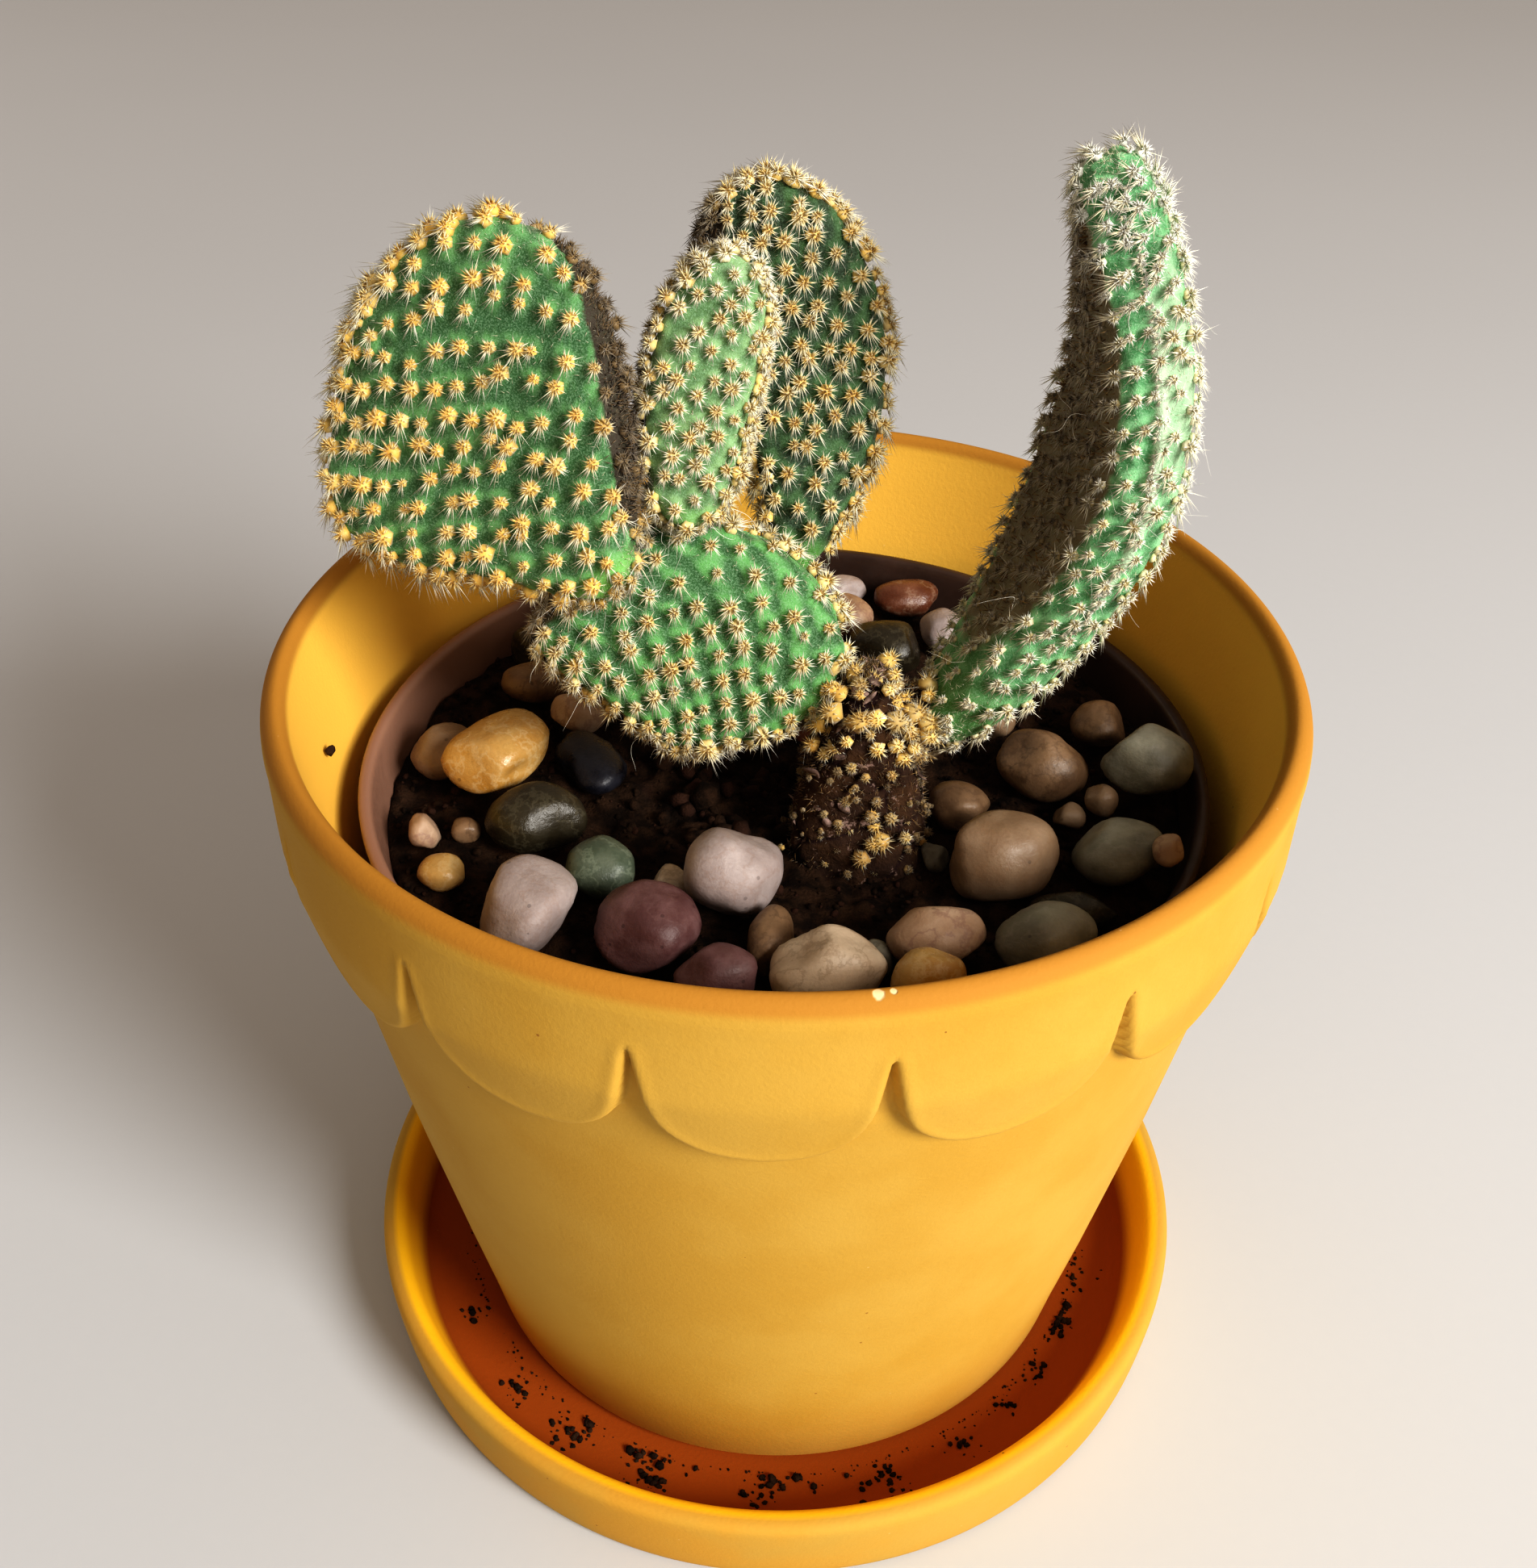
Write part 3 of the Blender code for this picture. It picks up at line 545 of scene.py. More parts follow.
def buildPot(shape, material):
    # rings of one closed profile; the collar stands out where the distance to the lobes' edge is positive
    even = np.linspace(-1.0, 1.0, shape["columns"], endpoint=False)
    share = even + shape["crowding"] * np.sin(math.pi * even) / math.pi   # closer together near the notches
    lobe = 2.0 * np.arange(shape["lobes"])[:, None] + 1.0
    angle = (shape["firstNotch"] + math.pi / shape["lobes"] * (lobe + share)).ravel()
    across = np.tile(share, shape["lobes"])
    bodyHeight, bodyRadius = np.array(shape["body"]).T
    heights = rowHeights(shape, lobeEdge(shape, across))
    reach = edgeDistance(shape, np.broadcast_to(across, heights.shape), heights)
    rounded = np.clip((reach + 0.1) / shape["rounding"], 0.0, 1.0)
    stand = np.sqrt(1.0 - (1.0 - rounded) ** shape["roundPower"])
    # the wall inside a notch lies a little deeper, and every lobe has a faintly rolled edge
    plain = np.interp(heights, bodyHeight, bodyRadius) - shape["notchDepth"] * smoothStep(85.0, 88.0, heights)
    roll = shape["roll"] * np.exp(-((reach - shape["rollPlace"]) / shape["rollWidth"]) ** 2)
    collar = shape["collar"] - shape["drawIn"] * np.maximum(0.0, shape["widest"] - heights) + roll
    wall = np.stack((plain * (1.0 - stand) + collar * stand, heights), axis=-1)
    over = (cutCorners(shape["lip"], 2), cutCorners((shape["lip"][-1], *shape["inside"]), 2)[1:])
    foot, lip, inside = (np.broadcast_to(np.array(part)[:, None, :], (len(part), len(angle), 2))
                         for part in (shape["foot"], *over))
    grid = np.concatenate((foot, wall, lip, inside))
    rings = onTurn(grid[..., 0], angle, grid[..., 1])
    points = rings.reshape(-1, 3)
    inward = np.hypot(points[:, 0], points[:, 1]) < np.interp(points[:, 2], bodyHeight, bodyRadius) - 1.2
    # the inner mask paints light on the inside of the wall, below the lip
    masks = {"lip": smoothStep(102.0, 103.2, points[:, 2]), "floor": np.zeros(len(points)),
             "inner": smoothStep(103.4, 102.0, points[:, 2]) * inward}
    waver(points, *shape["waver"])
    faces = facingOut(points, [gridFaces(len(rings), len(angle), wrapRows=True)])
    addPiece("scalloped_pot", points, faces, material, masks, ["pot"])


saucerShape = {
    "profile": ((0.0, 0.5), (50.0, 0.5), (51.5, 0.0), (55.4, 0.0), (56.4, 1.2), (57.5, 11.0), (57.2, 12.4),
                (55.9, 12.9), (54.4, 12.4), (53.7, 11.0), (52.4, 6.2), (50.6, 4.1), (30.0, 4.0), (0.0, 4.0)),
    "columns": 224, "waver": (0.12, 30.0, 8, 57.0),
}


def spinProfile(profile, columns):
    # every point of a radius and height profile carried round the axis
    radius, height = np.asarray(profile).T[:, :, None]
    return onTurn(radius, np.linspace(0.0, fullTurn, columns, endpoint=False), height)


def buildSaucer(shape, material):
    # the profile spun round, with a pole in its foot and one in its floor
    rings = spinProfile(cutCorners(shape["profile"], 2)[1:-1], shape["columns"])
    points, faces = closedRings(rings)
    reach = np.hypot(points[:, 0], points[:, 1])
    above = smoothStep(3.0, 3.6, points[:, 2])
    # painted light on the saucer's inner wall, and painted shade on its floor
    masks = {"lip": 0.0 * reach, "inner": smoothStep(56.2, 55.2, reach) * above,
             "floor": smoothStep(53.2, 51.6, reach) * above}
    waver(points, *shape["waver"])
    addPiece("clay_saucer", points, facingOut(points, faces), material, masks, ["saucer"])


potMaterial = clayMaterial("painted_clay_pot", clayLook, clayLook["paint"], clayLook["inner"],
                           clayLook["chips"])
saucerMaterial = clayMaterial("painted_clay_saucer", clayLook, clayLook["saucerPaint"], clayLook["saucerPaintedBounce"])
buildPot(potShape, potMaterial)
buildSaucer(saucerShape, saucerMaterial)
report("pot and saucer")


# nursery pot and soil

nurseryShape = {
    "profile": ((4.0, 9.3), (34.0, 9.3), (35.0, 10.4), (50.1, 86.4), (50.6, 87.1), (51.0, 87.5),
                (51.0, 88.3), (50.7, 88.6), (49.9, 88.6), (49.4, 88.1), (49.2, 86.6), (34.1, 10.9),
                (33.4, 10.2), (4.0, 10.2)),
    "columns": 160, "waver": (0.25, 34.0, 3, 50.0), "plastic": (0.045, 0.026, 0.020),
    # the colour of the light painted on the left side, and the metres to the left of the axis where it starts
    # and is full
    "haze": (0.30, 0.17, 0.12), "paintedLightFrom": (0.031, 0.040),
}


def buildNurseryPot(shape):
    # the closed profile of its thin wall spun round; a hole through the floor's middle
    material, tree, shader, place = newMaterial("brown_plastic", Roughness=0.34, IOR=1.47)
    made = mottled(tree, place, shape["plastic"], tuple(c * 1.6 for c in shape["plastic"]), 70.0, 900.0, 0.1)
    # painted light: the plastic is painted pale on the left side, where light shines through it, and stays dark
    # elsewhere
    placeX = put(tree, "ShaderNodeSeparateXYZ", {0: place}).outputs[0]
    paintedLight = ranged(tree, maths(tree, "MULTIPLY", placeX, -1.0), *shape["paintedLightFrom"])
    tree.links.new(blendColours(tree, paintedLight, made["Color"], shape["haze"]), shader.inputs["Base Color"])
    tree.links.new(ranged(tree, made["Height"], 0.3, 0.7, 0.28, 0.45), shader.inputs["Roughness"])
    bumpInto(tree, shader, made["Height"], 0.03)
    rings = spinProfile(cutCorners(shape["profile"], 1, closed=True), shape["columns"])
    points = rings.reshape(-1, 3)
    waver(points, *shape["waver"])
    faces = facingOut(points, [gridFaces(len(rings), shape["columns"], wrapRows=True)])
    addPiece("growing_pot", points, faces, material, replaces=["nursery_pot"])


soilShape = {
    "level": 83.0, "radius": 48.6, "rings": 78, "columns": 216,
    "wall": ((1.0, 10.6), (32.4, 10.6), (33.6, 12.0), (47.9, 79.0)),
    # height, size and seed of each layer of relief
    "relief": ((0.9, 9.0, 21), (0.75, 3.1, 22), (0.45, 1.3, 23)),
    "crumbs": 2400, "clods": 46, "clodPlace": (-7.0, -3.0), "clodSpread": (7.0, 6.5),
    "dark": (0.014, 0.008, 0.005), "light": (0.052, 0.028, 0.016), "clod": (0.058, 0.027, 0.018),
}


def soilHeight(place):
    # level ground with hollows of a few millimetres and crumbly relief on them
    flat = np.column_stack((place[:, :2], np.zeros(len(place))))
    height = np.full(len(place), soilShape["level"] - 0.2)
    for tall, size, seed in soilShape["relief"]:
        height = height + tall * lumpNoise(flat, size, seed)
    return height


def soilMaterial(shape):
    # dark patches with coarse grain, redder where the tone that the mesh carries is high
    material, tree, shader, place = newMaterial("potting_soil", Roughness=0.95, Specular_IOR_Level=0.15)
    made = mottled(tree, place, shape["dark"], shape["light"], 420.0, 2600.0, 0.9)
    reddish = ranged(tree, readMask(tree, "tone"), 0.55, 1.0)
    tree.links.new(blendColours(tree, reddish, made["Color"], shape["clod"]), shader.inputs["Base Color"])
    bumpInto(tree, shader, made["Height"], 0.35)
    return material


chunkCorners = 12


def chunks(centres, sizes, random):
    # a 20-sided lump at each centre: an icosahedron stretched, turned and dented at random
    t = (1.0 + math.sqrt(5.0)) / 2.0
    ball = np.array([(-1, t, 0), (1, t, 0), (-1, -t, 0), (1, -t, 0), (0, -1, t), (0, 1, t), (0, -1, -t),
                     (0, 1, -t), (t, 0, -1), (t, 0, 1), (-t, 0, -1), (-t, 0, 1)]) / math.hypot(1.0, t)
    sides = np.array([(0, 11, 5), (0, 5, 1), (0, 1, 7), (0, 7, 10), (0, 10, 11), (1, 5, 9), (5, 11, 4),
                      (11, 10, 2), (10, 7, 6), (7, 1, 8), (3, 9, 4), (3, 4, 2), (3, 2, 6), (3, 6, 8), (3, 8, 9),
                      (4, 9, 5), (2, 4, 11), (6, 2, 10), (8, 6, 7), (9, 8, 1)])
    count = len(centres)
    turn = np.linalg.qr(random.normal(size=(count, 3, 3)))[0]
    turn *= np.sign(np.linalg.det(turn))[:, None, None]
    stretch = random.uniform(0.65, 1.25, (count, 1, 3))
    dents = random.uniform(0.72, 1.15, (count, chunkCorners, 1))
    points = (ball * stretch * dents) @ turn * sizes[:, None, None] + centres[:, None, :]
    return points.reshape(-1, 3), repeatShape(chunkCorners, sides, count)


def isFree(place):
    # whether a place on the soil lies outside every pebble's own ellipse
    free = np.ones(len(place), bool)
    for name in pebbleNames:
        low, high = (np.array(corner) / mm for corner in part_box(name))
        inside = (place - (low + high)[:2] / 2) / ((high - low)[:2] / 2)
        free &= (inside ** 2).sum(axis=1) > 0.75   # a little of the rim counts as free
    return free


def buildSoil(shape, random):
    # one closed body: a small foot, the wall inside the growing pot, then the crumbly top
    radius = shape["radius"] * np.linspace(1.0, 0.004, shape["rings"])
    angle = np.linspace(0.0, fullTurn, shape["columns"], endpoint=False)
    top = onTurn(radius[:, None], angle, 0.0)
    top[..., 2] = soilHeight(top.reshape(-1, 3)).reshape(top.shape[:2])
    top[0, :, 2] = shape["level"] - 1.2
    points, faces = closedRings(np.concatenate((spinProfile(shape["wall"], shape["columns"]), top)))
    tone = 0.5 + 0.3 * lumpNoise(points, 2.4, 31)
    material = soilMaterial(shape)
    addPiece("soil_bed", points, facingOut(points, faces), material, {"tone": tone}, ["soil"])
    # crumbs and clods lie on it wherever no pebble covers them
    count, clods = shape["crumbs"], shape["clods"]
    reach = np.sqrt(random.random(count)) * (shape["radius"] - 0.8)
    place = onTurn(reach, random.random(count) * fullTurn, 0.0)[:, :2]
    size = 0.22 + 0.5 * random.random(count) ** 3
    near = [random.normal(middle, spread, clods)
            for middle, spread in zip(shape["clodPlace"], shape["clodSpread"])]
    place = np.concatenate((place, np.stack(near, axis=1)))
    size = np.concatenate((size, random.uniform(0.7, 1.9, clods)))
    free = isFree(place)
    place, size = place[free], size[free]
    points, faces = chunks(np.column_stack((place, soilHeight(place) + size * 0.25)), size, random)
    tone = np.repeat(random.random(len(place)), chunkCorners)
    addPiece("soil_crumbs", points, [faces], material, {"tone": tone})
    return material


buildNurseryPot(nurseryShape)
crumbMaterial = buildSoil(soilShape, np.random.default_rng(5))
report("growing pot and soil")


# spilled soil on the saucer and on the pot's wall

spillShape = {
    # x, y, spread and count of each patch on the saucer
    "patches": ((40.2, -20.7, 2.6, 46), (36.5, -28.6, 1.5, 16), (31.4, -34.3, 1.2, 10),
                (43.6, -12.4, 2.2, 14), (-27.6, -40.6, 3.2, 60), (-16.6, -45.1, 3.6, 70),
                (-0.8, -47.7, 4.2, 60), (15.0, -45.8, 4.0, 46), (25.9, -41.0, 3.0, 20),
                (-35.4, -32.8, 2.4, 30), (-42.9, -21.6, 2.0, 12), (20.0, 43.0, 4.0, 30)),
    "crumb": (0.14, 0.42), "floor": 4.05, "inner": 45.2, "outer": 50.4,
    "ring": 520, "ringCrumb": (0.07, 0.22),   # fine dirt all along the pot's foot
    "onWall": (-53.9, -5.2, 91.6), "onWallSize": 0.75,
}


def buildSpill(shape, material, random):
    # lumps scattered round each patch's middle, kept between the pot's foot and the saucer's wall
    middle = np.concatenate([np.tile((x, y, spread), (count, 1)) for x, y, spread, count in shape["patches"]])
    place = middle[:, :2] + random.normal(size=(len(middle), 2)) * middle[:, 2:3] * 0.6
    reach = np.linalg.norm(place, axis=1)
    place *= (np.clip(reach, shape["inner"], shape["outer"]) / reach)[:, None]
    size = random.uniform(*shape["crumb"], len(place)) * random.choice([1.0, 1.0, 1.7], len(place))
    turn = random.random(shape["ring"]) * fullTurn
    reach = shape["inner"] - 0.9 + np.abs(random.normal(0.0, 0.9, shape["ring"]))
    place = np.concatenate((place, onTurn(reach, turn, 0.0)[:, :2]))
    size = np.append(size, random.uniform(*shape["ringCrumb"], shape["ring"]))
    centre = np.column_stack((place, shape["floor"] + size * 0.45))
    centre = np.concatenate((centre, [shape["onWall"]]))
    points, faces = chunks(centre, np.append(size, shape["onWallSize"]), random)
    tone = np.repeat(random.random(len(centre)) * 0.7, chunkCorners)
    addPiece("spilled_soil", points, [faces], material, {"tone": tone})


buildSpill(spillShape, crumbMaterial, np.random.default_rng(6))
report("spilled soil")


# pebbles: each from its own node's corners

stoneLooks = {
    # kind: first colour, second colour, vein colour, roughness, patch size in millimetres, share of veins
    "amber": ((0.56, 0.30, 0.07), (0.68, 0.45, 0.175), (0.80, 0.62, 0.36), 0.30, 7.0, 0.25),
    "peach": ((0.31, 0.205, 0.125), (0.42, 0.30, 0.20), (0.30, 0.17, 0.09), 0.42, 6.0, 0.12),
    "black": ((0.012, 0.012, 0.018), (0.035, 0.036, 0.05), (0.08, 0.08, 0.10), 0.30, 4.0, 0.1),
    "olive": ((0.026, 0.020, 0.011), (0.058, 0.048, 0.028), (0.30, 0.27, 0.18), 0.32, 6.0, 0.10),
    "brown": ((0.20, 0.12, 0.065), (0.34, 0.22, 0.13), (0.11, 0.065, 0.04), 0.42, 5.0, 0.25),
    "rose": ((0.50, 0.33, 0.215), (0.64, 0.47, 0.34), (0.27, 0.13, 0.11), 0.45, 5.0, 0.25),
    "green": ((0.10, 0.13, 0.09), (0.17, 0.20, 0.145), (0.35, 0.40, 0.30), 0.38, 4.0, 0.2),
    "white": ((0.42, 0.345, 0.33), (0.58, 0.50, 0.485), (0.34, 0.22, 0.16), 0.46, 6.0, 0.14),
    "maroon": ((0.13, 0.055, 0.055), (0.22, 0.115, 0.115), (0.27, 0.16, 0.15), 0.50, 4.0, 0.10),
    "cream": ((0.68, 0.54, 0.40), (0.80, 0.68, 0.53), (0.30, 0.20, 0.12), 0.45, 6.0, 0.2),
    "grey": ((0.20, 0.185, 0.145), (0.33, 0.31, 0.25), (0.12, 0.10, 0.08), 0.5, 4.0, 0.3),
    "slate": ((0.22, 0.21, 0.165), (0.40, 0.385, 0.31), (0.46, 0.43, 0.38), 0.42, 6.0, 0.12),
    "russet": ((0.15, 0.05, 0.025), (0.26, 0.11, 0.06), (0.40, 0.26, 0.18), 0.32, 4.0, 0.3),
}
stoneShape = {
    "pull": 11.0, "ripple": 0.075, "rough": 0.020, "darken": 0.74, "bigFrom": 3.0,
    "big": (26, 40), "small": (16, 26),   # rows and columns of the mesh
    "cuts": {"white": 7, "maroon": 6, "rose": 6, "cream": 5, "peach": 5, "grey": 5, "slate": 4}, "fewCuts": 2,
    "cutDepth": 0.20, "soften": 14.0,
}


def stoneMaterial(kind, look):
    # two colours in patches, thin veins where a noise crosses its middle, and dark pores
    first, second, vein, roughness, patch, share = look
    first, second, vein = (tuple(c * stoneShape["darken"] for c in colour) for colour in (first, second, vein))
    material, tree, shader, place = newMaterial(f"stone_{kind}", IOR=1.5)
    made = mottled(tree, place, first, second, 1000.0 / patch, 2400.0, 0.28)
    thin = maths(tree, "ABSOLUTE", maths(tree, "SUBTRACT", noiseValue(tree, place, 260.0, 5.0, 0.6), 0.5))
    mask = ranged(tree, thin, 0.0, 0.03 + 0.05 * share, share * 1.6, 0.0)
    colour = blendColours(tree, mask, made["Color"], vein)
    pores = speckMask(tree, place, 700.0, 0.16, 0.13)
    colour = blendColours(tree, maths(tree, "MULTIPLY", pores, 0.45), colour, tuple(c * 0.35 for c in first))
    tree.links.new(colour, shader.inputs["Base Color"])
    worn = noiseValue(tree, place, 500.0, 3.0)
    rough = ranged(tree, worn, 0.3, 0.7, roughness - 0.08, roughness + 0.14)
    tree.links.new(rough, shader.inputs["Roughness"])
    bumpInto(tree, shader, maths(tree, "MULTIPLY_ADD", pores, -0.6, made["Height"]), 0.07)
    return material


def ballDirections(tall, around):
    # unit directions on a grid of heights, from the top down, and turns, without the two poles
    polar = (np.arange(tall) + 0.5)[:, None] / tall * math.pi
    turn = np.arange(around)[None, :] / around * fullTurn
    return np.stack((np.sin(polar) * np.cos(turn), np.sin(polar) * np.sin(turn),
                     np.cos(polar) + 0.0 * turn), axis=-1)


def nodeCorners(name):
    # the corners of a node's solid in millimetres, each once
    mesh = frame["nodes"][name].data
    corners = np.empty(len(mesh.vertices) * 3)
    mesh.vertices.foreach_get("co", corners)
    return np.unique(np.round(corners.reshape(-1, 3) / mm, 3), axis=0)


def buildPebbles(shape, looks):
    # rays from the middle: a point's distance is the mean of the node's corners' distances, weighted by how
    # near they lie, then cut by flat places as if worn off, with soft edges, and rippled
    materials = {kind: stoneMaterial(kind, look) for kind, look in looks.items()}
    for number, name in enumerate(pebbleNames):
        kind = name.split("_")[2]
        random = np.random.default_rng(100 + number)
        low, high = (np.array(corner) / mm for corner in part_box(name))
        middle, half = (low + high) / 2, (high - low) / 2
        corners = (nodeCorners(name) - middle) / half
        grid = ballDirections(*shape["big" if half.max() > shape["bigFrom"] else "small"])
        way = grid.reshape(-1, 3)
        weight = np.exp(shape["pull"] * (way @ unitVectors(corners).T - 1.0))
        reach = (weight * np.linalg.norm(corners, axis=1)).sum(axis=1) / weight.sum(axis=1)
        for _ in range(shape["cuts"].get(kind, shape["fewCuts"])):
            flat = unitVectors(random.normal(size=3) * (1.0, 1.0, 0.8))
            limit = (1.0 - shape["cutDepth"] * random.uniform(0.6, 1.3)) / np.maximum(way @ flat, 0.05)
            nearer = np.exp(-shape["soften"] * reach) + np.exp(-shape["soften"] * np.minimum(limit, 4.0))
            reach = -np.log(nearer) / shape["soften"]
        reach *= (1.0 + shape["ripple"] * lumpNoise(way, 0.7, 40 + number)
                  + shape["rough"] * lumpNoise(way, 0.25, 90))
        # stretched to fill its node's box
        points = way * reach[:, None]
        centre, span = (points.max(axis=0) + points.min(axis=0)) / 2, np.ptp(points, axis=0)
        points = (points - centre) / span * 2 * half + middle
        points, faces = closedRings(points.reshape(grid.shape))
        addPiece(f"stone_{name[7:]}", points, facingOut(points, faces), materials[kind], replaces=[name])


buildPebbles(stoneShape, stoneLooks)
report("pebbles")


# the plant's segments

segments = {
    # spine: points at the joint, halfway and at the tip; facing: the way that the broad side looks; widths:
    # shares of the width at five even heights; square: how square the outline is, with 2 for an ellipse
    "woody_stem": dict(spine=((7.8, -11.4, 75.0), (8.9, -10.4, 90.4), (9.0, -8.9, 106.3)),
                       facing=(0.0, -1.0, 0.2), width=13.2, thickness=9.6,
                       widths=(1.38, 1.19, 1.0, 0.81, 0.62), square=2.6),
    "pad_lower": dict(spine=((3.3, -8.8, 101.5), (-10.4, -6.4, 109.1), (-27.6, -7.5, 108.7)),
                      facing=(0.05, -1.0, 0.4), width=24.0, thickness=7.6,
                      widths=(0.84, 1.02, 1.04, 0.88, 0.62), square=2.3),
    "pad_left": dict(spine=((-18.4, -12.4, 118.0), (-31.1, -2.6, 130.5), (-45.9, 6.9, 139.4)),
                     facing=(-0.35, -0.88, 0.35), width=35.0, thickness=6.6,
                     widths=(0.48, 0.71, 1.03, 1.27, 1.30), square=2.0),
    "pad_middle": dict(spine=((-11.0, -6.5, 122.6), (-9.9, -1.2, 134.9), (-6.1, 4.6, 147.9)),
                       facing=(0.1, -0.95, 0.32), width=10.6, thickness=6.8,
                       widths=(0.88, 0.94, 1.0, 1.06, 1.12), square=2.4),
    "pad_back": dict(spine=((0.0, 1.7, 112.5), (1.7, 10.0, 133.3), (-7.0, 15.4, 150.9)),
                     facing=(0.1, -0.92, 0.32), width=17.4, thickness=6.4,
                     widths=(0.5, 0.72, 1.0, 1.14, 1.2), square=2.4),
    "pad_right": dict(spine=((16.4, -8.7, 98.6), (33.4, -4.4, 130.0), (28.4, -8.2, 162.6)),
                      facing=(-0.97, -0.12, 0.1), width=24.6, thickness=8.8,
                      widths=(0.8, 0.86, 1.0, 0.81, 0.42), square=2.6),
}
plumpness = 3.6   # how square the cross-section is, with 2 for an ellipse
siteDrift = 0.125   # how far a site strays from its place on the spiral, as a share of the spacing


def spineFrame(segment, share):
    # point and the across, facing and along directions at a share of a curve through three points
    base, middle, tip = (np.array(point) for point in segment["spine"])
    bend = 2.0 * middle - (base + tip) / 2.0
    s = share[:, None]
    point = (1 - s) ** 2 * base + 2 * s * (1 - s) * bend + s ** 2 * tip
    along = unitVectors((1 - s) * (bend - base) + s * (tip - bend))
    across = unitVectors(np.cross(np.array(segment["facing"]), along))
    return point, across, np.cross(along, across), along


def spineLength(segment):
    # summed over short steps of the curve
    point = spineFrame(segment, np.linspace(0.0, 1.0, 40))[0]
    return float(np.linalg.norm(np.diff(point, axis=0), axis=1).sum())


def halfSizes(segment, height):
    # the width follows one smooth curve through its shares at five even heights
    widen = np.polyval(np.polyfit(np.linspace(-1.0, 1.0, 5), segment["widths"], 4), height)
    return np.stack((segment["width"] / 2 * widen, np.full_like(height, segment["thickness"] / 2),
                     np.full_like(height, spineLength(segment) / 2)), axis=-1)


def toStraight(segment, unit):
    # a unit point in millimetres on the segment while its spine is still straight
    return unit * halfSizes(segment, unit[..., 2])


def shellValue(segment, unit):
    # 1 on the rounded shape (|x|^p + |z|^p)^(q/p) + |y|^q = 1, p from the outline and q from the plumpness
    p, q = segment["square"], plumpness
    x, y, z = np.moveaxis(np.abs(unit), -1, 0)
    return (x ** p + z ** p) ** (q / p) + y ** q


def onShell(segment, unit):
    # moved along its own ray until the shell's value there is 1
    return unit / shellValue(segment, unit)[..., None] ** (1.0 / plumpness)


def scattered(segment, count, random, stretch=1.0, shift=0.0):
    # so many unit points at random on the shell
    return onShell(segment, unitVectors(random.normal(size=(count, 3)) * stretch + shift))


def shellNormal(segment, unit):
    # the slope of the shell's value, measured across a small step along each axis
    step = 1e-4
    slope = np.stack([shellValue(segment, unit + step * axis) - shellValue(segment, unit - step * axis)
                      for axis in np.eye(3)], axis=-1)
    return unitVectors(slope / halfSizes(segment, unit[..., 2]))


def bendToPlace(segment, straight):
    # a straight point's height becomes its way along the spine, and the rest is laid off square to it
    share = straight[:, 2] / spineLength(segment) + 0.5
    inside = np.clip(share, 0.0, 1.0)
    point, across, facing, along = spineFrame(segment, inside)
    rest = (share - inside)[:, None] * spineLength(segment)
    return point + across * straight[:, :1] + facing * straight[:, 1:2] + along * rest


def turnToPlace(segment, straight, vectors):
    # directions at straight points, turned with the spine's frame there
    share = np.clip(straight[:, 2] / spineLength(segment) + 0.5, 0.0, 1.0)
    _, across, facing, along = spineFrame(segment, share)
    return across * vectors[:, :1] + facing * vectors[:, 1:2] + along * vectors[:, 2:3]


def areoleSites(segment, spacing, crowd, crowdTip, bare, random):
    # unit points along a golden-angle spiral, evenly by area, and closer at the rim and tip by the crowding
    polar, turn = np.meshgrid(np.linspace(math.pi, 0.0, 161), np.linspace(0.0, fullTurn, 193), indexing="ij")
    ball = np.stack((np.sin(polar) * np.cos(turn), np.sin(polar) * np.sin(turn), np.cos(polar)), axis=-1)
    unit = onShell(segment, ball)
    outline = toStraight(segment, unit)
    steps = np.linalg.norm(np.diff(outline, axis=1), axis=2)
    rim = smoothStep(0.80, 1.0, (np.abs(unit[..., 0]) ** 2.5 + np.abs(unit[..., 2]) ** 2.5) ** 0.4)
    tip = smoothStep(0.5, 0.9, unit[..., 2])
    denser = 1.0 + crowd * np.where(unit[..., 2] > -0.7, rim, 0.0) + crowdTip * tip
    weighted = steps * (denser[:, 1:] + denser[:, :-1]) / 2
    rise = np.linalg.norm(np.diff(outline, axis=0), axis=2).mean(axis=1)
    perimeter = weighted.sum(axis=1)
    area = np.concatenate(([0.0], np.cumsum((perimeter[1:] + perimeter[:-1]) / 2 * rise)))
    start = np.interp(bare * 2 - 1, unit[:, 0, 2], area)
    count = int((area[-1] - start) / (0.866 * spacing ** 2))
    # each site's row, by its share of the area, and its place in the row, by its share of the way round
    level = np.interp(start + (area[-1] - start) * (np.arange(count) + 0.5) / count, area, np.arange(len(area)))
    low = np.minimum(level.astype(int), len(area) - 2)
    part = (level - low)[:, None]
    run = np.cumsum(weighted[low] * (1 - part) + weighted[low + 1] * part, axis=1)
    run = np.concatenate((np.zeros((count, 1)), run), axis=1)
    goal = (np.arange(count) * goldenShare % 1.0)[:, None] * run[:, -1:]
    near = np.clip((run < goal).sum(axis=1) - 1, 0, run.shape[1] - 2)
    rows = np.arange(count)
    before, after = run[rows, near], run[rows, near + 1]
    blend = ((goal[:, 0] - before) / np.maximum(after - before, 1e-9))[:, None]
    lower = unit[low, near] * (1 - blend) + unit[low, near + 1] * blend
    upper = unit[low + 1, near] * (1 - blend) + unit[low + 1, near + 1] * blend
    sites = onShell(segment, lower * (1 - part) + upper * part)
    # moved a little along the skin, so that the spiral doesn't show
    sizes = halfSizes(segment, sites[:, 2])
    side, other = tangents(shellNormal(segment, sites))
    drift = random.normal(0.0, siteDrift * spacing, (count, 2))
    return onShell(segment, (sites * sizes + side * drift[:, :1] + other * drift[:, 1:]) / sizes)


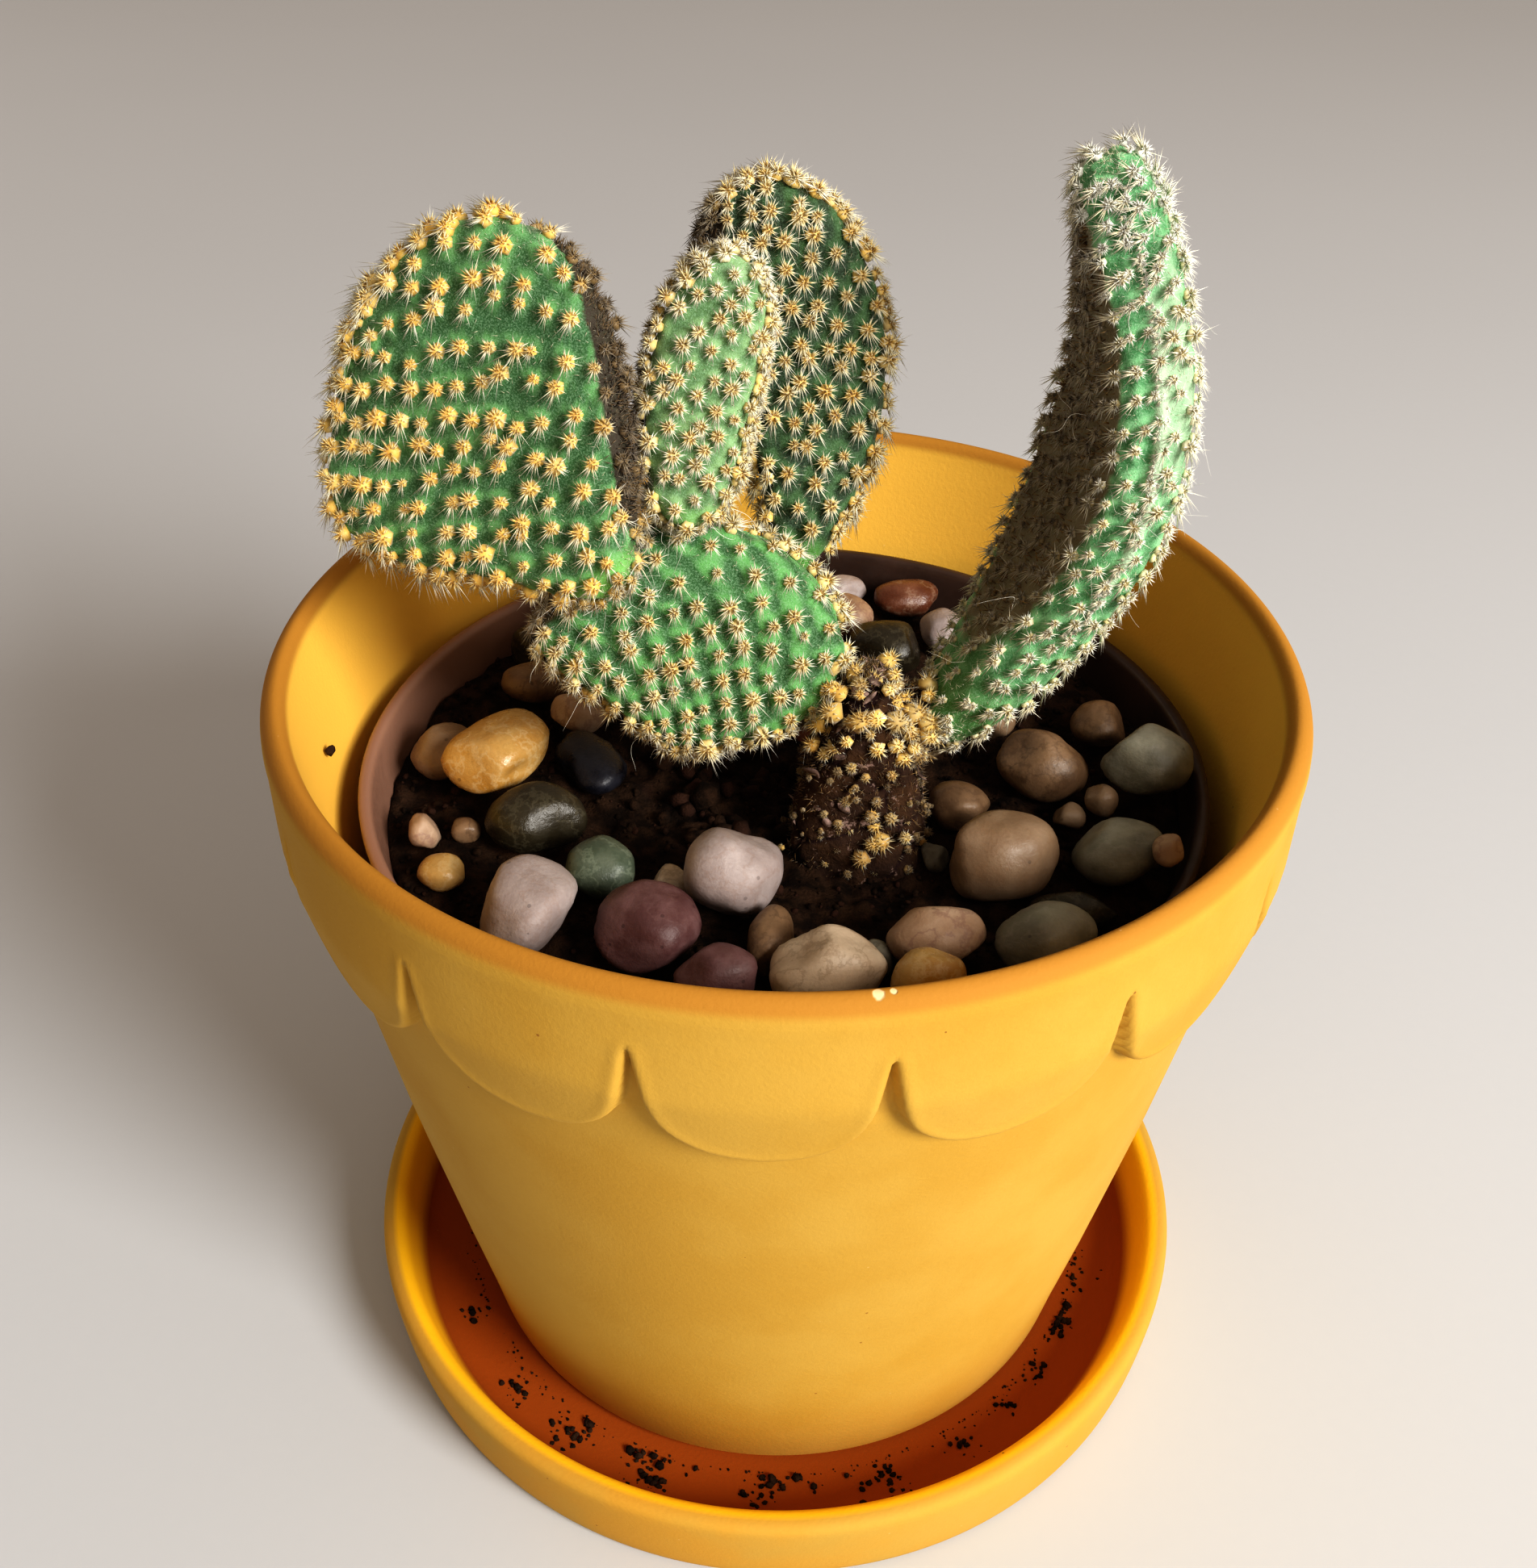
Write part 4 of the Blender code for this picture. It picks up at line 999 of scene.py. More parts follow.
padLooks = {
    # spacing of the tufts, how they crowd at the rim and at the tip, and the bare share at the base;
    # tuft is their size, needle the length of the long ones, and fall the way that these fall;
    # pale and paleTip lift them from gold to cream; wool and crestWool count the small ones round the joint
    # and along the edge, felt the brown hairs, felted their darkness, which is partly painted shade, and down
    # is the strength of the haze; main, hollow, base and dry are the skin's colours, hollow being painted shade
    # and dry both dry skin and painted shade; matted and frosted are directions in the pad's own unit space
    # (across, facing, along), matted marking dry skin with painted shade and frosted pale frost, on the right
    # pad partly a painted highlight, and their From values the reach along them where the mask starts and is
    # full; ridges run along flow, ridge is the height of the crest, and cell the mesh's size
    "pad_lower": dict(
        spacing=3.15, crowd=0.6, crowdTip=0.3, bare=0.03, tuft=1.18, needle=2.0, fall=(-0.1, -0.3, -1.0),
        pale=0.20, paleTip=0.05, wool=22, felt=5000, feltedShade=1.2, main=(0.150, 0.430, 0.130),
        hollow=(0.028, 0.120, 0.030), base=(0.14, 0.38, 0.09), baseReach=0.08, dryAndShade=(0.080, 0.060, 0.030),
        matted=(-0.60, 0.0, 0.80), mattedFrom=(0.78, 1.02), frosted=(0.0, 0.3, 1.0), frostedFrom=(1.0, 1.5),
        frostAndHighlight=0.2, flow=(0.5, 0.0, -0.86), ridge=0.0, cell=0.40),
    # pad_left: its matted side band is painted shade as well as dry skin, hence the very dark dry colour
    "pad_left": dict(
        spacing=3.35, crowd=0.8, crowdTip=0.0, bare=0.05, tuft=1.22, needle=2.15, fall=(-0.25, -0.3, -1.0),
        softer={"core": 0.70, "bristleLong": 0.76}, pale=0.0, paleTip=0.0, wool=16, felt=11000, feltedShade=1.75,
        main=(0.165, 0.430, 0.155), hollow=(0.034, 0.130, 0.040), base=(0.22, 0.55, 0.13), baseReach=0.09,
        dryAndShade=(0.045, 0.030, 0.018), matted=(-1.0, -0.30, -0.42), mattedFrom=(0.70, 0.90),
        frosted=(0.0, 0.3, 1.0), frostedFrom=(0.85, 1.3), frostAndHighlight=0.35, flow=(0.35, 0.0, 0.94), ridge=0.0,
        cell=0.46),
    "pad_middle": dict(
        spacing=2.40, crowd=0.6, crowdTip=0.4, bare=0.04, tuft=1.06, needle=1.7, fall=(-0.2, -0.3, -1.0),
        pale=0.22, paleTip=0.10, wool=18, main=(0.280, 0.480, 0.220), hollow=(0.110, 0.230, 0.090),
        base=(0.20, 0.44, 0.14), baseReach=0.12, dryAndShade=(0.14, 0.12, 0.07), matted=(1.0, -0.6, 0.0),
        mattedFrom=(0.95, 1.25), frosted=(0.0, 0.3, 1.0), frostedFrom=(0.75, 1.3), frostAndHighlight=0.45,
        flow=(0.2, 0.0, 0.98), ridge=0.0, cell=0.38),
    # pad_back: its dark main and hollow colours are painted shade of the right pad's shadow
    "pad_back": dict(
        spacing=2.80, crowd=0.7, crowdTip=0.4, bare=0.04, tuft=1.24, needle=2.1, fall=(-0.1, -0.3, -1.0),
        pale=0.12, paleTip=0.04, wool=14, felt=5000, feltedShade=1.5, down=0.35, main=(0.060, 0.150, 0.052),
        hollow=(0.010, 0.034, 0.011), base=(0.14, 0.38, 0.08), baseReach=0.12, dryAndShade=(0.055, 0.036, 0.020),
        matted=(0.62, 0.0, 0.80), mattedFrom=(0.78, 1.0), frosted=(0.0, 0.3, 1.0), frostedFrom=(1.2, 1.6),
        frostAndHighlight=0.1, flow=(0.3, 0.0, 0.95), ridge=0.0, cell=0.46),
    # pad_right: its matted broad face is dry skin and painted shade, and the frost on its near edge and crest
    # is in part a painted highlight
    "pad_right": dict(
        spacing=2.80, crowd=0.2, crowdTip=0.8, bare=0.02, tuft=0.80, needle=2.75, fall=(-1.0, -0.25, -0.45),
        pale=0.48, paleTip=0.50, wool=26, crestWool=84, felt=8000, down=0.9, main=(0.290, 0.660, 0.330),
        hollow=(0.085, 0.300, 0.115), base=(0.085, 0.270, 0.065), baseReach=0.16, dryAndShade=(0.250, 0.200, 0.125),
        matted=(0.0, 1.0, 0.10), mattedFrom=(0.72, 0.97), frosted=(-0.95, -0.30, 0.35),
        frostedFrom=(0.95, 1.2), frostAndHighlight=0.62, flow=(0.0, 0.0, 1.0), ridge=0.7, cell=0.52),
}
skinShape = {"tubercle": 0.52, "spread": 1.7, "hollow": 0.34, "hollowSize": 1.0, "crease": 0.08, "sag": 0.30,
             "ripple": 0.20, "pore": 0.05, "stretch": 0.40, "relief": 0.14}
tuftShape = {
    # needles fall to one side but for a share that strays; sizes in millimetres, for a tuft of size 1
    "core": 0.62, "sink": 0.3, "bristles": 29, "bristleLong": 0.88, "bristleThick": 0.115, "needles": 10,
    "needleThick": 0.085, "stray": 0.20, "fuzz": 4.6, "fuzzLong": 0.42, "fuzzThick": 0.034, "feltLong": 1.5,
    "feltThick": 0.075,
    # share of sites left empty, how much sizes vary, and the sizes of the small ones at the joint and crest
    "missing": 0.004, "uneven": 0.16, "atJoint": 0.62, "atCrest": 0.42,
}


def buildFlesh():
    # green skin: painted shade in the hollows, fresh at the joint, dry skin and painted shade at the rim, with
    # soft patches and fine down
    group, given, out = newGroup("cactusFlesh", [
        ("Place", "NodeSocketVector", None), ("Tubercle", "NodeSocketFloat", 0.5),
        ("Along", "NodeSocketFloat", 0.5), ("Dryness And Shade", "NodeSocketFloat", 0.0),
        ("Main", "NodeSocketColor", (0.1, 0.3, 0.1, 1.0)),
        ("Hollow Shade", "NodeSocketColor", (0.05, 0.1, 0.05, 1.0)),
        ("Fresh", "NodeSocketColor", (0.2, 0.4, 0.1, 1.0)),
        ("Fresh Reach", "NodeSocketFloat", 0.2), ("Dry And Shade", "NodeSocketColor", (0.1, 0.1, 0.05, 1.0)),
        ("Frost And Highlight", "NodeSocketFloat", 0.0), ("Down", "NodeSocketFloat", 0.3)],
        [("Color", "NodeSocketColor"), ("Height", "NodeSocketFloat")])
    place = given["Place"]
    # painted shade: the hollow colour where the tubercle mask is low, between the tubercles and under the tufts
    patches = maths(group, "MULTIPLY", maths(group, "SUBTRACT", noiseValue(group, place, 160.0, 3.0), 0.5), 1.1)
    lift = ranged(group, maths(group, "ADD", given["Tubercle"], patches), 0.05, 0.75)
    colour = blendColours(group, lift, given["Hollow Shade"], given["Main"])
    fresh = ranged(group, maths(group, "DIVIDE", given["Along"], given["Fresh Reach"]), 0.35, 1.0, 1.0, 0.0)
    colour = blendColours(group, fresh, colour, given["Fresh"])
    # dry skin, and painted shade on the pad's shaded side, where the matted mask is up
    edge = maths(group, "MULTIPLY_ADD", noiseValue(group, place, 420.0, 3.0), 0.7, given["Dryness And Shade"])
    drynessAndShade = ranged(group, edge, 0.45, 0.85)
    colour = blendColours(group, drynessAndShade, colour, given["Dry And Shade"])
    down = noiseValue(group, place, 5200.0, 3.0, 0.7)
    alive = ranged(group, drynessAndShade, 0.0, 1.0, 1.0, 0.15, smooth=False)
    strength = maths(group, "MULTIPLY", given["Down"], alive)
    haze = maths(group, "MULTIPLY", ranged(group, down, 0.42, 0.68), strength)
    colour = blendColours(group, haze, colour, blendColours(group, 0.55, colour, (0.42, 0.66, 0.44)))
    # pale frost, in part a painted highlight on the right pad's lit edge and crest
    felt = noiseValue(group, place, 900.0, 4.0, 0.65)
    frostAndHighlight = ranged(group, maths(group, "MULTIPLY_ADD", felt, 0.6, given["Frost And Highlight"]), 0.5, 1.15)
    group.links.new(blendColours(group, frostAndHighlight, colour, (0.50, 0.66, 0.46)), out["Color"])
    group.links.new(down, out["Height"])
    return group


cactusFlesh = buildFlesh()


def skinMaterial(name, look):
    # the flesh group with one pad's own colours, and a soft sheen of down
    material, tree, shader, place = newMaterial(f"skin_{name}", Roughness=0.6, Sheen_Weight=0.3,
                                                Sheen_Roughness=0.35, Sheen_Tint=(0.85, 0.95, 0.75, 1.0))
    made = linkGroup(tree, cactusFlesh, {
        "Place": place, "Tubercle": readMask(tree, "tubercle"), "Along": readMask(tree, "along"),
        "Dryness And Shade": readMask(tree, "matted"), "Frost And Highlight": readMask(tree, "frostAndHighlight"), "Main": look["main"],
        "Hollow Shade": look["hollow"], "Fresh": look["base"], "Fresh Reach": look["baseReach"], "Dry And Shade": look["dryAndShade"],
        "Down": look.get("down", 0.7)})
    tree.links.new(made["Color"], shader.inputs["Base Color"])
    tree.links.new(ranged(tree, made["Height"], 0.3, 0.7, 0.46, 0.66), shader.inputs["Roughness"])
    bumpInto(tree, shader, made["Height"], skinShape["relief"])
    return material


glochidColours = {
    # from burnt orange at the root through gold to cream and white at the tips
    "stops": ((0.0, (0.34, 0.13, 0.015)), (0.2, (0.80, 0.41, 0.06)), (0.42, (0.90, 0.62, 0.17)),
              (0.68, (0.92, 0.81, 0.48)), (1.0, (0.95, 0.955, 0.88))),
    # dull and felt are partly painted shade: the brown tufts and felt on the pads' shaded sides and at the
    # stem's foot
    "dull": (0.185, 0.125, 0.070), "felt": (0.050, 0.034, 0.020),
}


def glochidMaterial(look):
    # the ramp by paleness, a shade of each hair's own, dull brown up to 1 of the brown mask and felt up to 2,
    # both partly painted shade
    material, tree, shader, place = newMaterial("glochids", Roughness=0.55, Sheen_Weight=0.2)
    patch = maths(tree, "SUBTRACT", noiseValue(tree, place, 900.0, 2.0), 0.5)
    mixed = maths(tree, "ADD", readMask(tree, "paleness"), maths(tree, "MULTIPLY", patch, 0.18))
    shade = ranged(tree, readMask(tree, "tone"), 0.0, 1.0, 0.75, 1.0, smooth=False)
    grey = put(tree, "ShaderNodeCombineColor", {0: shade, 1: shade, 2: shade}).outputs[0]
    colour = blendColours(tree, 1.0, colourRamp(tree, mixed, look["stops"]), grey, "MULTIPLY")
    brown = readMask(tree, "brown")
    dull = blendColours(tree, 0.80, colour, look["dull"])
    colour = blendColours(tree, ranged(tree, brown, 0.0, 1.0, smooth=False), colour, dull)
    colour = blendColours(tree, ranged(tree, brown, 1.0, 2.0, smooth=False), colour, look["felt"])
    tree.links.new(colour, shader.inputs["Base Color"])
    return material


def needleCloud(root, way, length, thick, rootPale, tipPale, tone, brown):
    # each needle is a slim three-sided spike, closed at its root
    count = len(root)
    side, other = tangents(way)
    angle = np.arange(3) * fullTurn / 3
    ring = np.cos(angle)[:, None] * side[:, None, :] + np.sin(angle)[:, None] * other[:, None, :]
    ring = root[:, None, :] + ring * np.broadcast_to(thick, count)[:, None, None]
    points = np.concatenate((ring, (root + way * length[:, None])[:, None, :]), axis=1)
    faces = repeatShape(4, np.array([(0, 1, 3), (1, 2, 3), (2, 0, 3), (2, 1, 0)]), count)
    pale = [np.broadcast_to(numbers, count) for numbers in (rootPale, rootPale, rootPale, tipPale)]
    values = {"paleness": np.stack(pale, axis=1).ravel(), "tone": np.repeat(tone, 4),
              "brown": np.repeat(brown, 4)}
    return points.reshape(-1, 3), [faces], values


def tuftCores(foot, normal, size, pale, brown, random, shape):
    # a five-sided bud: three uneven rings, a crown over them and a point under the skin
    count, rows, sides = len(foot), 3, 5
    each = rows * sides + 2
    side, other = tangents(normal)
    turn = np.arange(sides) * fullTurn / sides + random.random((count, 1)) * 6.0
    height, spread = np.array(((0.0, 0.95), (0.55, 1.0), (1.05, 0.55))).T
    wide = shape["core"] * size[:, None, None]
    radius = wide * spread[None, :, None] * random.uniform(0.85, 1.15, (count, rows, sides))
    rise = wide * height[None, :, None] - 0.1
    flat = side[:, None] * np.cos(turn)[..., None] + other[:, None] * np.sin(turn)[..., None]
    rings = foot[:, None, None] + normal[:, None, None] * rise[..., None] + flat[:, None] * radius[..., None]
    crown = foot + normal * (shape["core"] * 1.2 * size)[:, None]
    under = foot - normal * shape["sink"]
    points = np.concatenate((rings.reshape(count, -1, 3), crown[:, None], under[:, None]), axis=1)
    here = np.arange(sides)
    there = (here + 1) % sides
    last = (rows - 1) * sides
    top = np.stack((last + here, last + there, np.full(sides, each - 2)), axis=1)
    bottom = np.stack((there, here, np.full(sides, each - 1)), axis=1)
    faces = [repeatShape(each, shapeFaces, count)
             for shapeFaces in (gridFaces(rows, sides), np.concatenate((top, bottom)))]
    paleness = random.uniform(0.34, 0.50, (count, each)).ravel() + np.repeat(pale, each) * 0.6
    values = {"paleness": paleness, "tone": np.repeat(random.random(count), each),
              "brown": np.repeat(brown, each)}
    return points.reshape(-1, 3), faces, values


def tuftBristles(middle, normal, size, pale, brown, random, shape):
    # directions spaced by the golden angle over a little more than half a ball
    each = shape["bristles"]
    many = (len(middle), each)
    side, other = tangents(normal)
    order = (np.arange(each) + 0.5) / each
    lift = np.clip(1.0 - 1.12 * order + random.normal(0.0, 0.05, many), -0.15, 1.0)
    turn = np.arange(each) * fullTurn * goldenShare + random.random((many[0], 1)) * fullTurn
    turn = turn + random.normal(0.0, 0.16, many)
    flat = side[:, None] * np.cos(turn)[..., None] + other[:, None] * np.sin(turn)[..., None]
    way = normal[:, None] * lift[..., None] + flat * np.sqrt(1.0 - lift ** 2)[..., None]
    start = middle[:, None] + way * (0.34 * size)[:, None, None]
    length = shape["bristleLong"] * size[:, None] * random.uniform(0.62, 1.2, many)
    thick = np.repeat(shape["bristleThick"] * np.sqrt(size / 1.2), each)
    bent = np.repeat(pale, each) + 0.30 * (1.0 - lift.ravel())
    return needleCloud(start.reshape(-1, 3), way.reshape(-1, 3), length.ravel(), thick, 0.34 + bent * 0.5,
                       0.66 + bent + random.normal(0.0, 0.07, len(bent)), random.random(len(bent)),
                       np.repeat(brown, each))


def tuftNeedles(middle, normal, size, fall, brown, needle, random, shape):
    # most needles leave on the falling side, the rest stray all round
    each = shape["needles"]
    many = (len(middle), each)
    down = unitVectors(fall - normal * np.einsum("ij,ij->i", fall, normal)[:, None])
    athwart = np.cross(normal, down)
    stray = random.random(many) < shape["stray"]
    out = np.where(stray, random.uniform(0.3, 1.0, many), random.uniform(0.15, 0.75, many))
    along = np.where(stray, random.normal(0.0, 0.8, many), random.uniform(0.7, 1.2, many))
    across = np.where(stray, random.normal(0.0, 0.8, many), random.normal(0.0, 0.45, many))
    way = unitVectors(normal[:, None] * out[..., None] + down[:, None] * along[..., None]
                      + athwart[:, None] * across[..., None])
    length = (needle * size)[:, None] * np.where(stray, 0.8, 1.0) * random.uniform(0.74, 1.2, many)
    count = length.size
    return needleCloud(np.repeat(middle, each, axis=0), way.reshape(-1, 3), length.ravel(),
                       shape["needleThick"], 0.74, 1.0 + random.normal(0.0, 0.05, count),
                       0.5 + 0.5 * random.random(count), np.repeat(brown, each) * 0.8)


def growTufts(foot, normal, size, fall, pale, brown, needle, random, shape):
    # a velvet ball of short bristles on a small core, and a fringe of long needles on the side where they fall
    middle = foot + normal * (0.42 * size)[:, None]
    return joinParts((tuftCores(foot, normal, size, pale, brown, random, shape),
                      tuftBristles(middle, normal, size, pale, brown, random, shape),
                      tuftNeedles(middle, normal, size, fall, brown, needle, random, shape)))


def segmentGrid(segment, cell):
    # unit shell points on a grid from the joint to the tip
    around = int(math.pi * (segment["width"] + segment["thickness"]) / 2 * 1.15 / cell) // 2 * 2
    tall = int(spineLength(segment) * 1.25 / cell)
    return onShell(segment, ballDirections(tall, around)[::-1])


def nearestSites(places, sites):
    # distance to the nearest and the second nearest site, worked out in slices
    first, second = [], []
    for part in np.array_split(places, max(1, len(places) // 4000)):
        gap = np.linalg.norm(part[:, None, :] - sites[None], axis=2)
        two = np.partition(gap, 1, axis=1)[:, :2]
        first.append(two[:, 0])
        second.append(two[:, 1])
    return np.concatenate(first), np.concatenate(second)


def maskShare(look, mask, unit):
    # how far a mask is up, by the reach of a unit point along the mask's own direction
    return smoothStep(*look[mask + "From"], unit @ np.array(look[mask]))


def mattedAndShadedShare(look, unit):
    # the joint itself stays free of felt
    return maskShare(look, "matted", unit) * smoothStep(-0.95, -0.6, unit[:, 2])


def slowSwell(straight, seed):
    # soft swells a few millimetres long over the whole pad
    return lumpNoise(straight, 7.0, seed) * skinShape["sag"]


def buildSkin(name, segment, look, seed, sites):
    # a low tubercle under every areole, drawn out into ridges along the flow; a hollow on the side where the
    # needles fall; a crease where two tubercles meet; slow swells over the whole pad; and a crest on one edge
    siteFoot, siteNormal = toStraight(segment, sites), shellNormal(segment, sites)
    grid = segmentGrid(segment, look["cell"])
    unit = grid.reshape(-1, 3)
    straight, normal = toStraight(segment, unit), shellNormal(segment, unit)
    flow, fall, ease = np.array(look["flow"]), np.array(look["fall"]), skinShape["stretch"]
    first, second = nearestSites(straight - ease * (straight @ flow)[:, None] * flow,
                                 siteFoot - ease * (siteFoot @ flow)[:, None] * flow)
    downhill = unitVectors(fall - siteNormal * (siteNormal @ fall)[:, None])
    under, _ = nearestSites(straight, siteFoot + downhill * 0.36 * look["spacing"])
    bump = np.exp(-(first / skinShape["spread"]) ** 2)
    pit = np.exp(-(under / skinShape["hollowSize"]) ** 2)
    crease = np.exp(-((second - first) / 0.8) ** 2) * (1.0 - bump)
    swell = (slowSwell(straight, seed) + lumpNoise(straight, 2.6, seed + 1) * skinShape["ripple"]
             + lumpNoise(straight, 1.1, seed + 2) * skinShape["pore"])
    x, y, z = unit.T
    crest = np.exp(-(y / 0.15) ** 2) * smoothStep(0.75, 0.97, -x) * smoothStep(-0.6, -0.1, z)
    lift = skinShape["tubercle"] * (bump - 0.35) - skinShape["hollow"] * pit - skinShape["crease"] * crease
    lift = lift * smoothStep(-1.0, -0.9 + look["bare"], z) + swell + look["ridge"] * crest
    placed = bendToPlace(segment, straight + normal * lift[:, None])
    points, faces = closedRings(placed.reshape(grid.shape))
    # frost is pale skin, in part a painted highlight on the right pad's lit edge and crest
    frostAndHighlight = look["frostAndHighlight"] * maskShare(look, "frosted", unit) + look["ridge"] * 1.3 * crest
    # the tubercle mask paints shade: darker between the tubercles, in the creases and in the hollow under each
    # tuft; the matted mask carries dry skin and painted shade
    values = {"tubercle": bump - 0.4 * crease - 0.9 * pit, "along": (z + 1) / 2,
              "matted": mattedAndShadedShare(look, unit), "frostAndHighlight": np.clip(frostAndHighlight, 0.0, 1.0)}
    values = {key: np.append(numbers, (numbers[0], numbers[-1])) for key, numbers in values.items()}
    addPiece(f"{name}_skin", points, facingOut(points, faces), skinMaterial(name, look), values, [name])


def tuftPlan(segment, look, seed, sites, random):
    # where the tufts stand, how big, pale and brown they are and how their needles fall; a few sites stay
    # empty, and small tufts are added in a ring where the pad joins its neighbour and in a row on its crest
    keep = random.random(len(sites)) > tuftShape["missing"]
    turn = random.random(look["wool"]) * fullTurn
    level = random.uniform(-0.99, -0.86, len(turn))
    flat = np.sqrt(1 - level ** 2)
    ring = np.stack((np.cos(turn) * flat, np.sin(turn) * flat, level), axis=1)
    row = np.linspace(-0.45, 0.93, look.get("crestWool", 0))
    row = np.stack((-np.sqrt(1 - row ** 2), random.normal(0.0, 0.07, len(row)), row), axis=1)
    sites = np.concatenate((sites[keep], onShell(segment, ring), onShell(segment, row)))
    count = len(sites)
    small, crested = np.arange(count) >= keep.sum(), np.arange(count) >= count - len(row)
    straight, normal = toStraight(segment, sites), shellNormal(segment, sites)
    lifted = straight + normal * (skinShape["tubercle"] * 0.6 + slowSwell(straight, seed)[:, None])
    foot, normal = bendToPlace(segment, lifted), turnToPlace(segment, lifted, normal)
    size = look["tuft"] * np.clip(random.normal(1.0, tuftShape["uneven"], count), 0.55, 1.4)
    size *= np.where(crested, tuftShape["atCrest"], np.where(small, tuftShape["atJoint"], 1.0))
    tip = smoothStep(0.60, 0.95, sites[:, 2])
    # tufts on the matted side are brown and smaller, their brown partly painted shade
    brown = mattedAndShadedShare(look, sites) * look.get("feltedShade", 1.0) * random.uniform(0.75, 1.1, count)
    brown = np.clip(brown, 0.0, 1.9)
    size *= 1.0 - 0.22 * np.minimum(brown, 1.0)
    brown = np.where(small, np.where(crested, 0.0, random.uniform(0.1, 0.7, count)), brown)
    fall = np.array(look["fall"]) + random.normal(0.0, 0.12, (count, 3))
    # tufts are paler where the frosted mask is up, in part a painted highlight on the right pad's lit edge
    frostyAndLit = maskShare(look, "frosted", sites) * look["frostAndHighlight"]
    pale = look["pale"] + look["paleTip"] * tip + 0.12 * frostyAndLit
    pale = pale + random.normal(0.0, 0.05, count) + 0.25 * crested
    return foot, normal, size, fall, pale, brown, look["needle"] * (1.0 + 0.15 * tip)


def growFuzz(segment, look, shape, seed, random):
    # short pale hairs all over the skin, leaning every way
    wide = segment["width"] + segment["thickness"]
    count = int(shape["fuzz"] * spineLength(segment) * wide * 0.35)
    unit = scattered(segment, count, random)
    straight, normal = toStraight(segment, unit), shellNormal(segment, unit)
    lean = unitVectors(normal * 0.5 + random.normal(0.0, 0.55, (count, 3)))
    root = bendToPlace(segment, straight + normal * (0.1 + slowSwell(straight, seed)[:, None]))
    length = shape["fuzzLong"] * random.uniform(0.6, 1.5, count) + 0.3
    # the hairs are browner where the matted mask is up, partly painted shade
    fuzz = needleCloud(root, turnToPlace(segment, straight, lean), length, shape["fuzzThick"], 0.8, 0.95,
                       random.random(count), maskShare(look, "matted", unit) * 0.9)
    # and a thick brown felt where the skin is matted, its dark brown partly painted shade
    unit = scattered(segment, look.get("felt", 0), random)
    unit = unit[mattedAndShadedShare(look, unit) > random.uniform(0.15, 0.9, len(unit))]
    straight, count = toStraight(segment, unit), len(unit)
    lean = unitVectors(shellNormal(segment, unit) + random.normal(0.0, 0.45, unit.shape))
    felt = needleCloud(bendToPlace(segment, straight), turnToPlace(segment, straight, lean),
                       shape["feltLong"] * random.uniform(0.5, 1.2, count), shape["feltThick"], 0.05, 0.55,
                       random.random(count), look.get("feltedShade", 1.0) * random.uniform(0.75, 1.15, count))
    return fuzz, felt


def insideOther(trees, name, places, farthest=12.0, clearance=0.15):
    # whether a place lies inside another segment or closer to it than the clearance, by the nearest normal
    hidden = np.zeros(len(places), bool)
    for other, tree in trees.items():
        if other == name:
            continue
        for number, place in enumerate(places):
            near, normal, _, _ = tree.find_nearest(Vector(place), farthest)
            hidden[number] |= near is not None and (Vector(place) - near).dot(normal) < clearance
    return hidden


def roughTree(segment):
    # a coarse tree of the segment without tufts, for leaving out tufts that a neighbour swallows
    grid = segmentGrid(segment, 1.6)
    placed = bendToPlace(segment, toStraight(segment, grid.reshape(-1, 3)))
    points, faces = closedRings(placed.reshape(grid.shape))
    faces = [face for part in facingOut(points, faces) for face in part.tolist()]
    return BVHTree.FromPolygons([tuple(point) for point in points], faces)


glochids = glochidMaterial(glochidColours)
trees = {name: roughTree(segment) for name, segment in segments.items()}
tuftCount = 0
for number, (name, look) in enumerate(padLooks.items()):
    segment, seed = segments[name], 300 + number
    random = np.random.default_rng(seed)
    sites = areoleSites(segment, look["spacing"], look["crowd"], look["crowdTip"], look["bare"], random)
    buildSkin(name, segment, look, seed, sites)
    plan = tuftPlan(segment, look, seed, sites, random)
    free = ~insideOther(trees, name, plan[0] + plan[1] * 0.6)
    tufts = growTufts(*(numbers[free] for numbers in plan), random, {**tuftShape, **look.get("softer", {})})
    points, faces, values = joinParts((tufts, *growFuzz(segment, look, tuftShape, seed, random)))
    addPiece(f"{name}_tufts", points, faces, glochids, values)
    tuftCount += int(free.sum())
    report(f"{name}: {int(free.sum())} tufts")


# woody stem

stemLook = {
    "bark": (0.040, 0.021, 0.014), "scale": (0.026, 0.011, 0.011), "flake": (0.40, 0.28, 0.24),
    "moss": (0.070, 0.036, 0.018), "cell": 0.32, "plates": 90, "plateDepth": 0.55, "flare": 1.6,
    "spacing": 2.1, "tuft": 1.35, "needle": 1.15, "shorter": {"core": 0.72, "bristleLong": 0.68, "needles": 6},
    "lowCluster": (10.5, -17.0, 88.5), "lowReach": 5.0, "felt": 3800, "strips": 90,
    "knot": (13.4, -8.9, 99.2), "knotSize": (4.3, 3.8, 5.0), "knotTufts": 44,
}


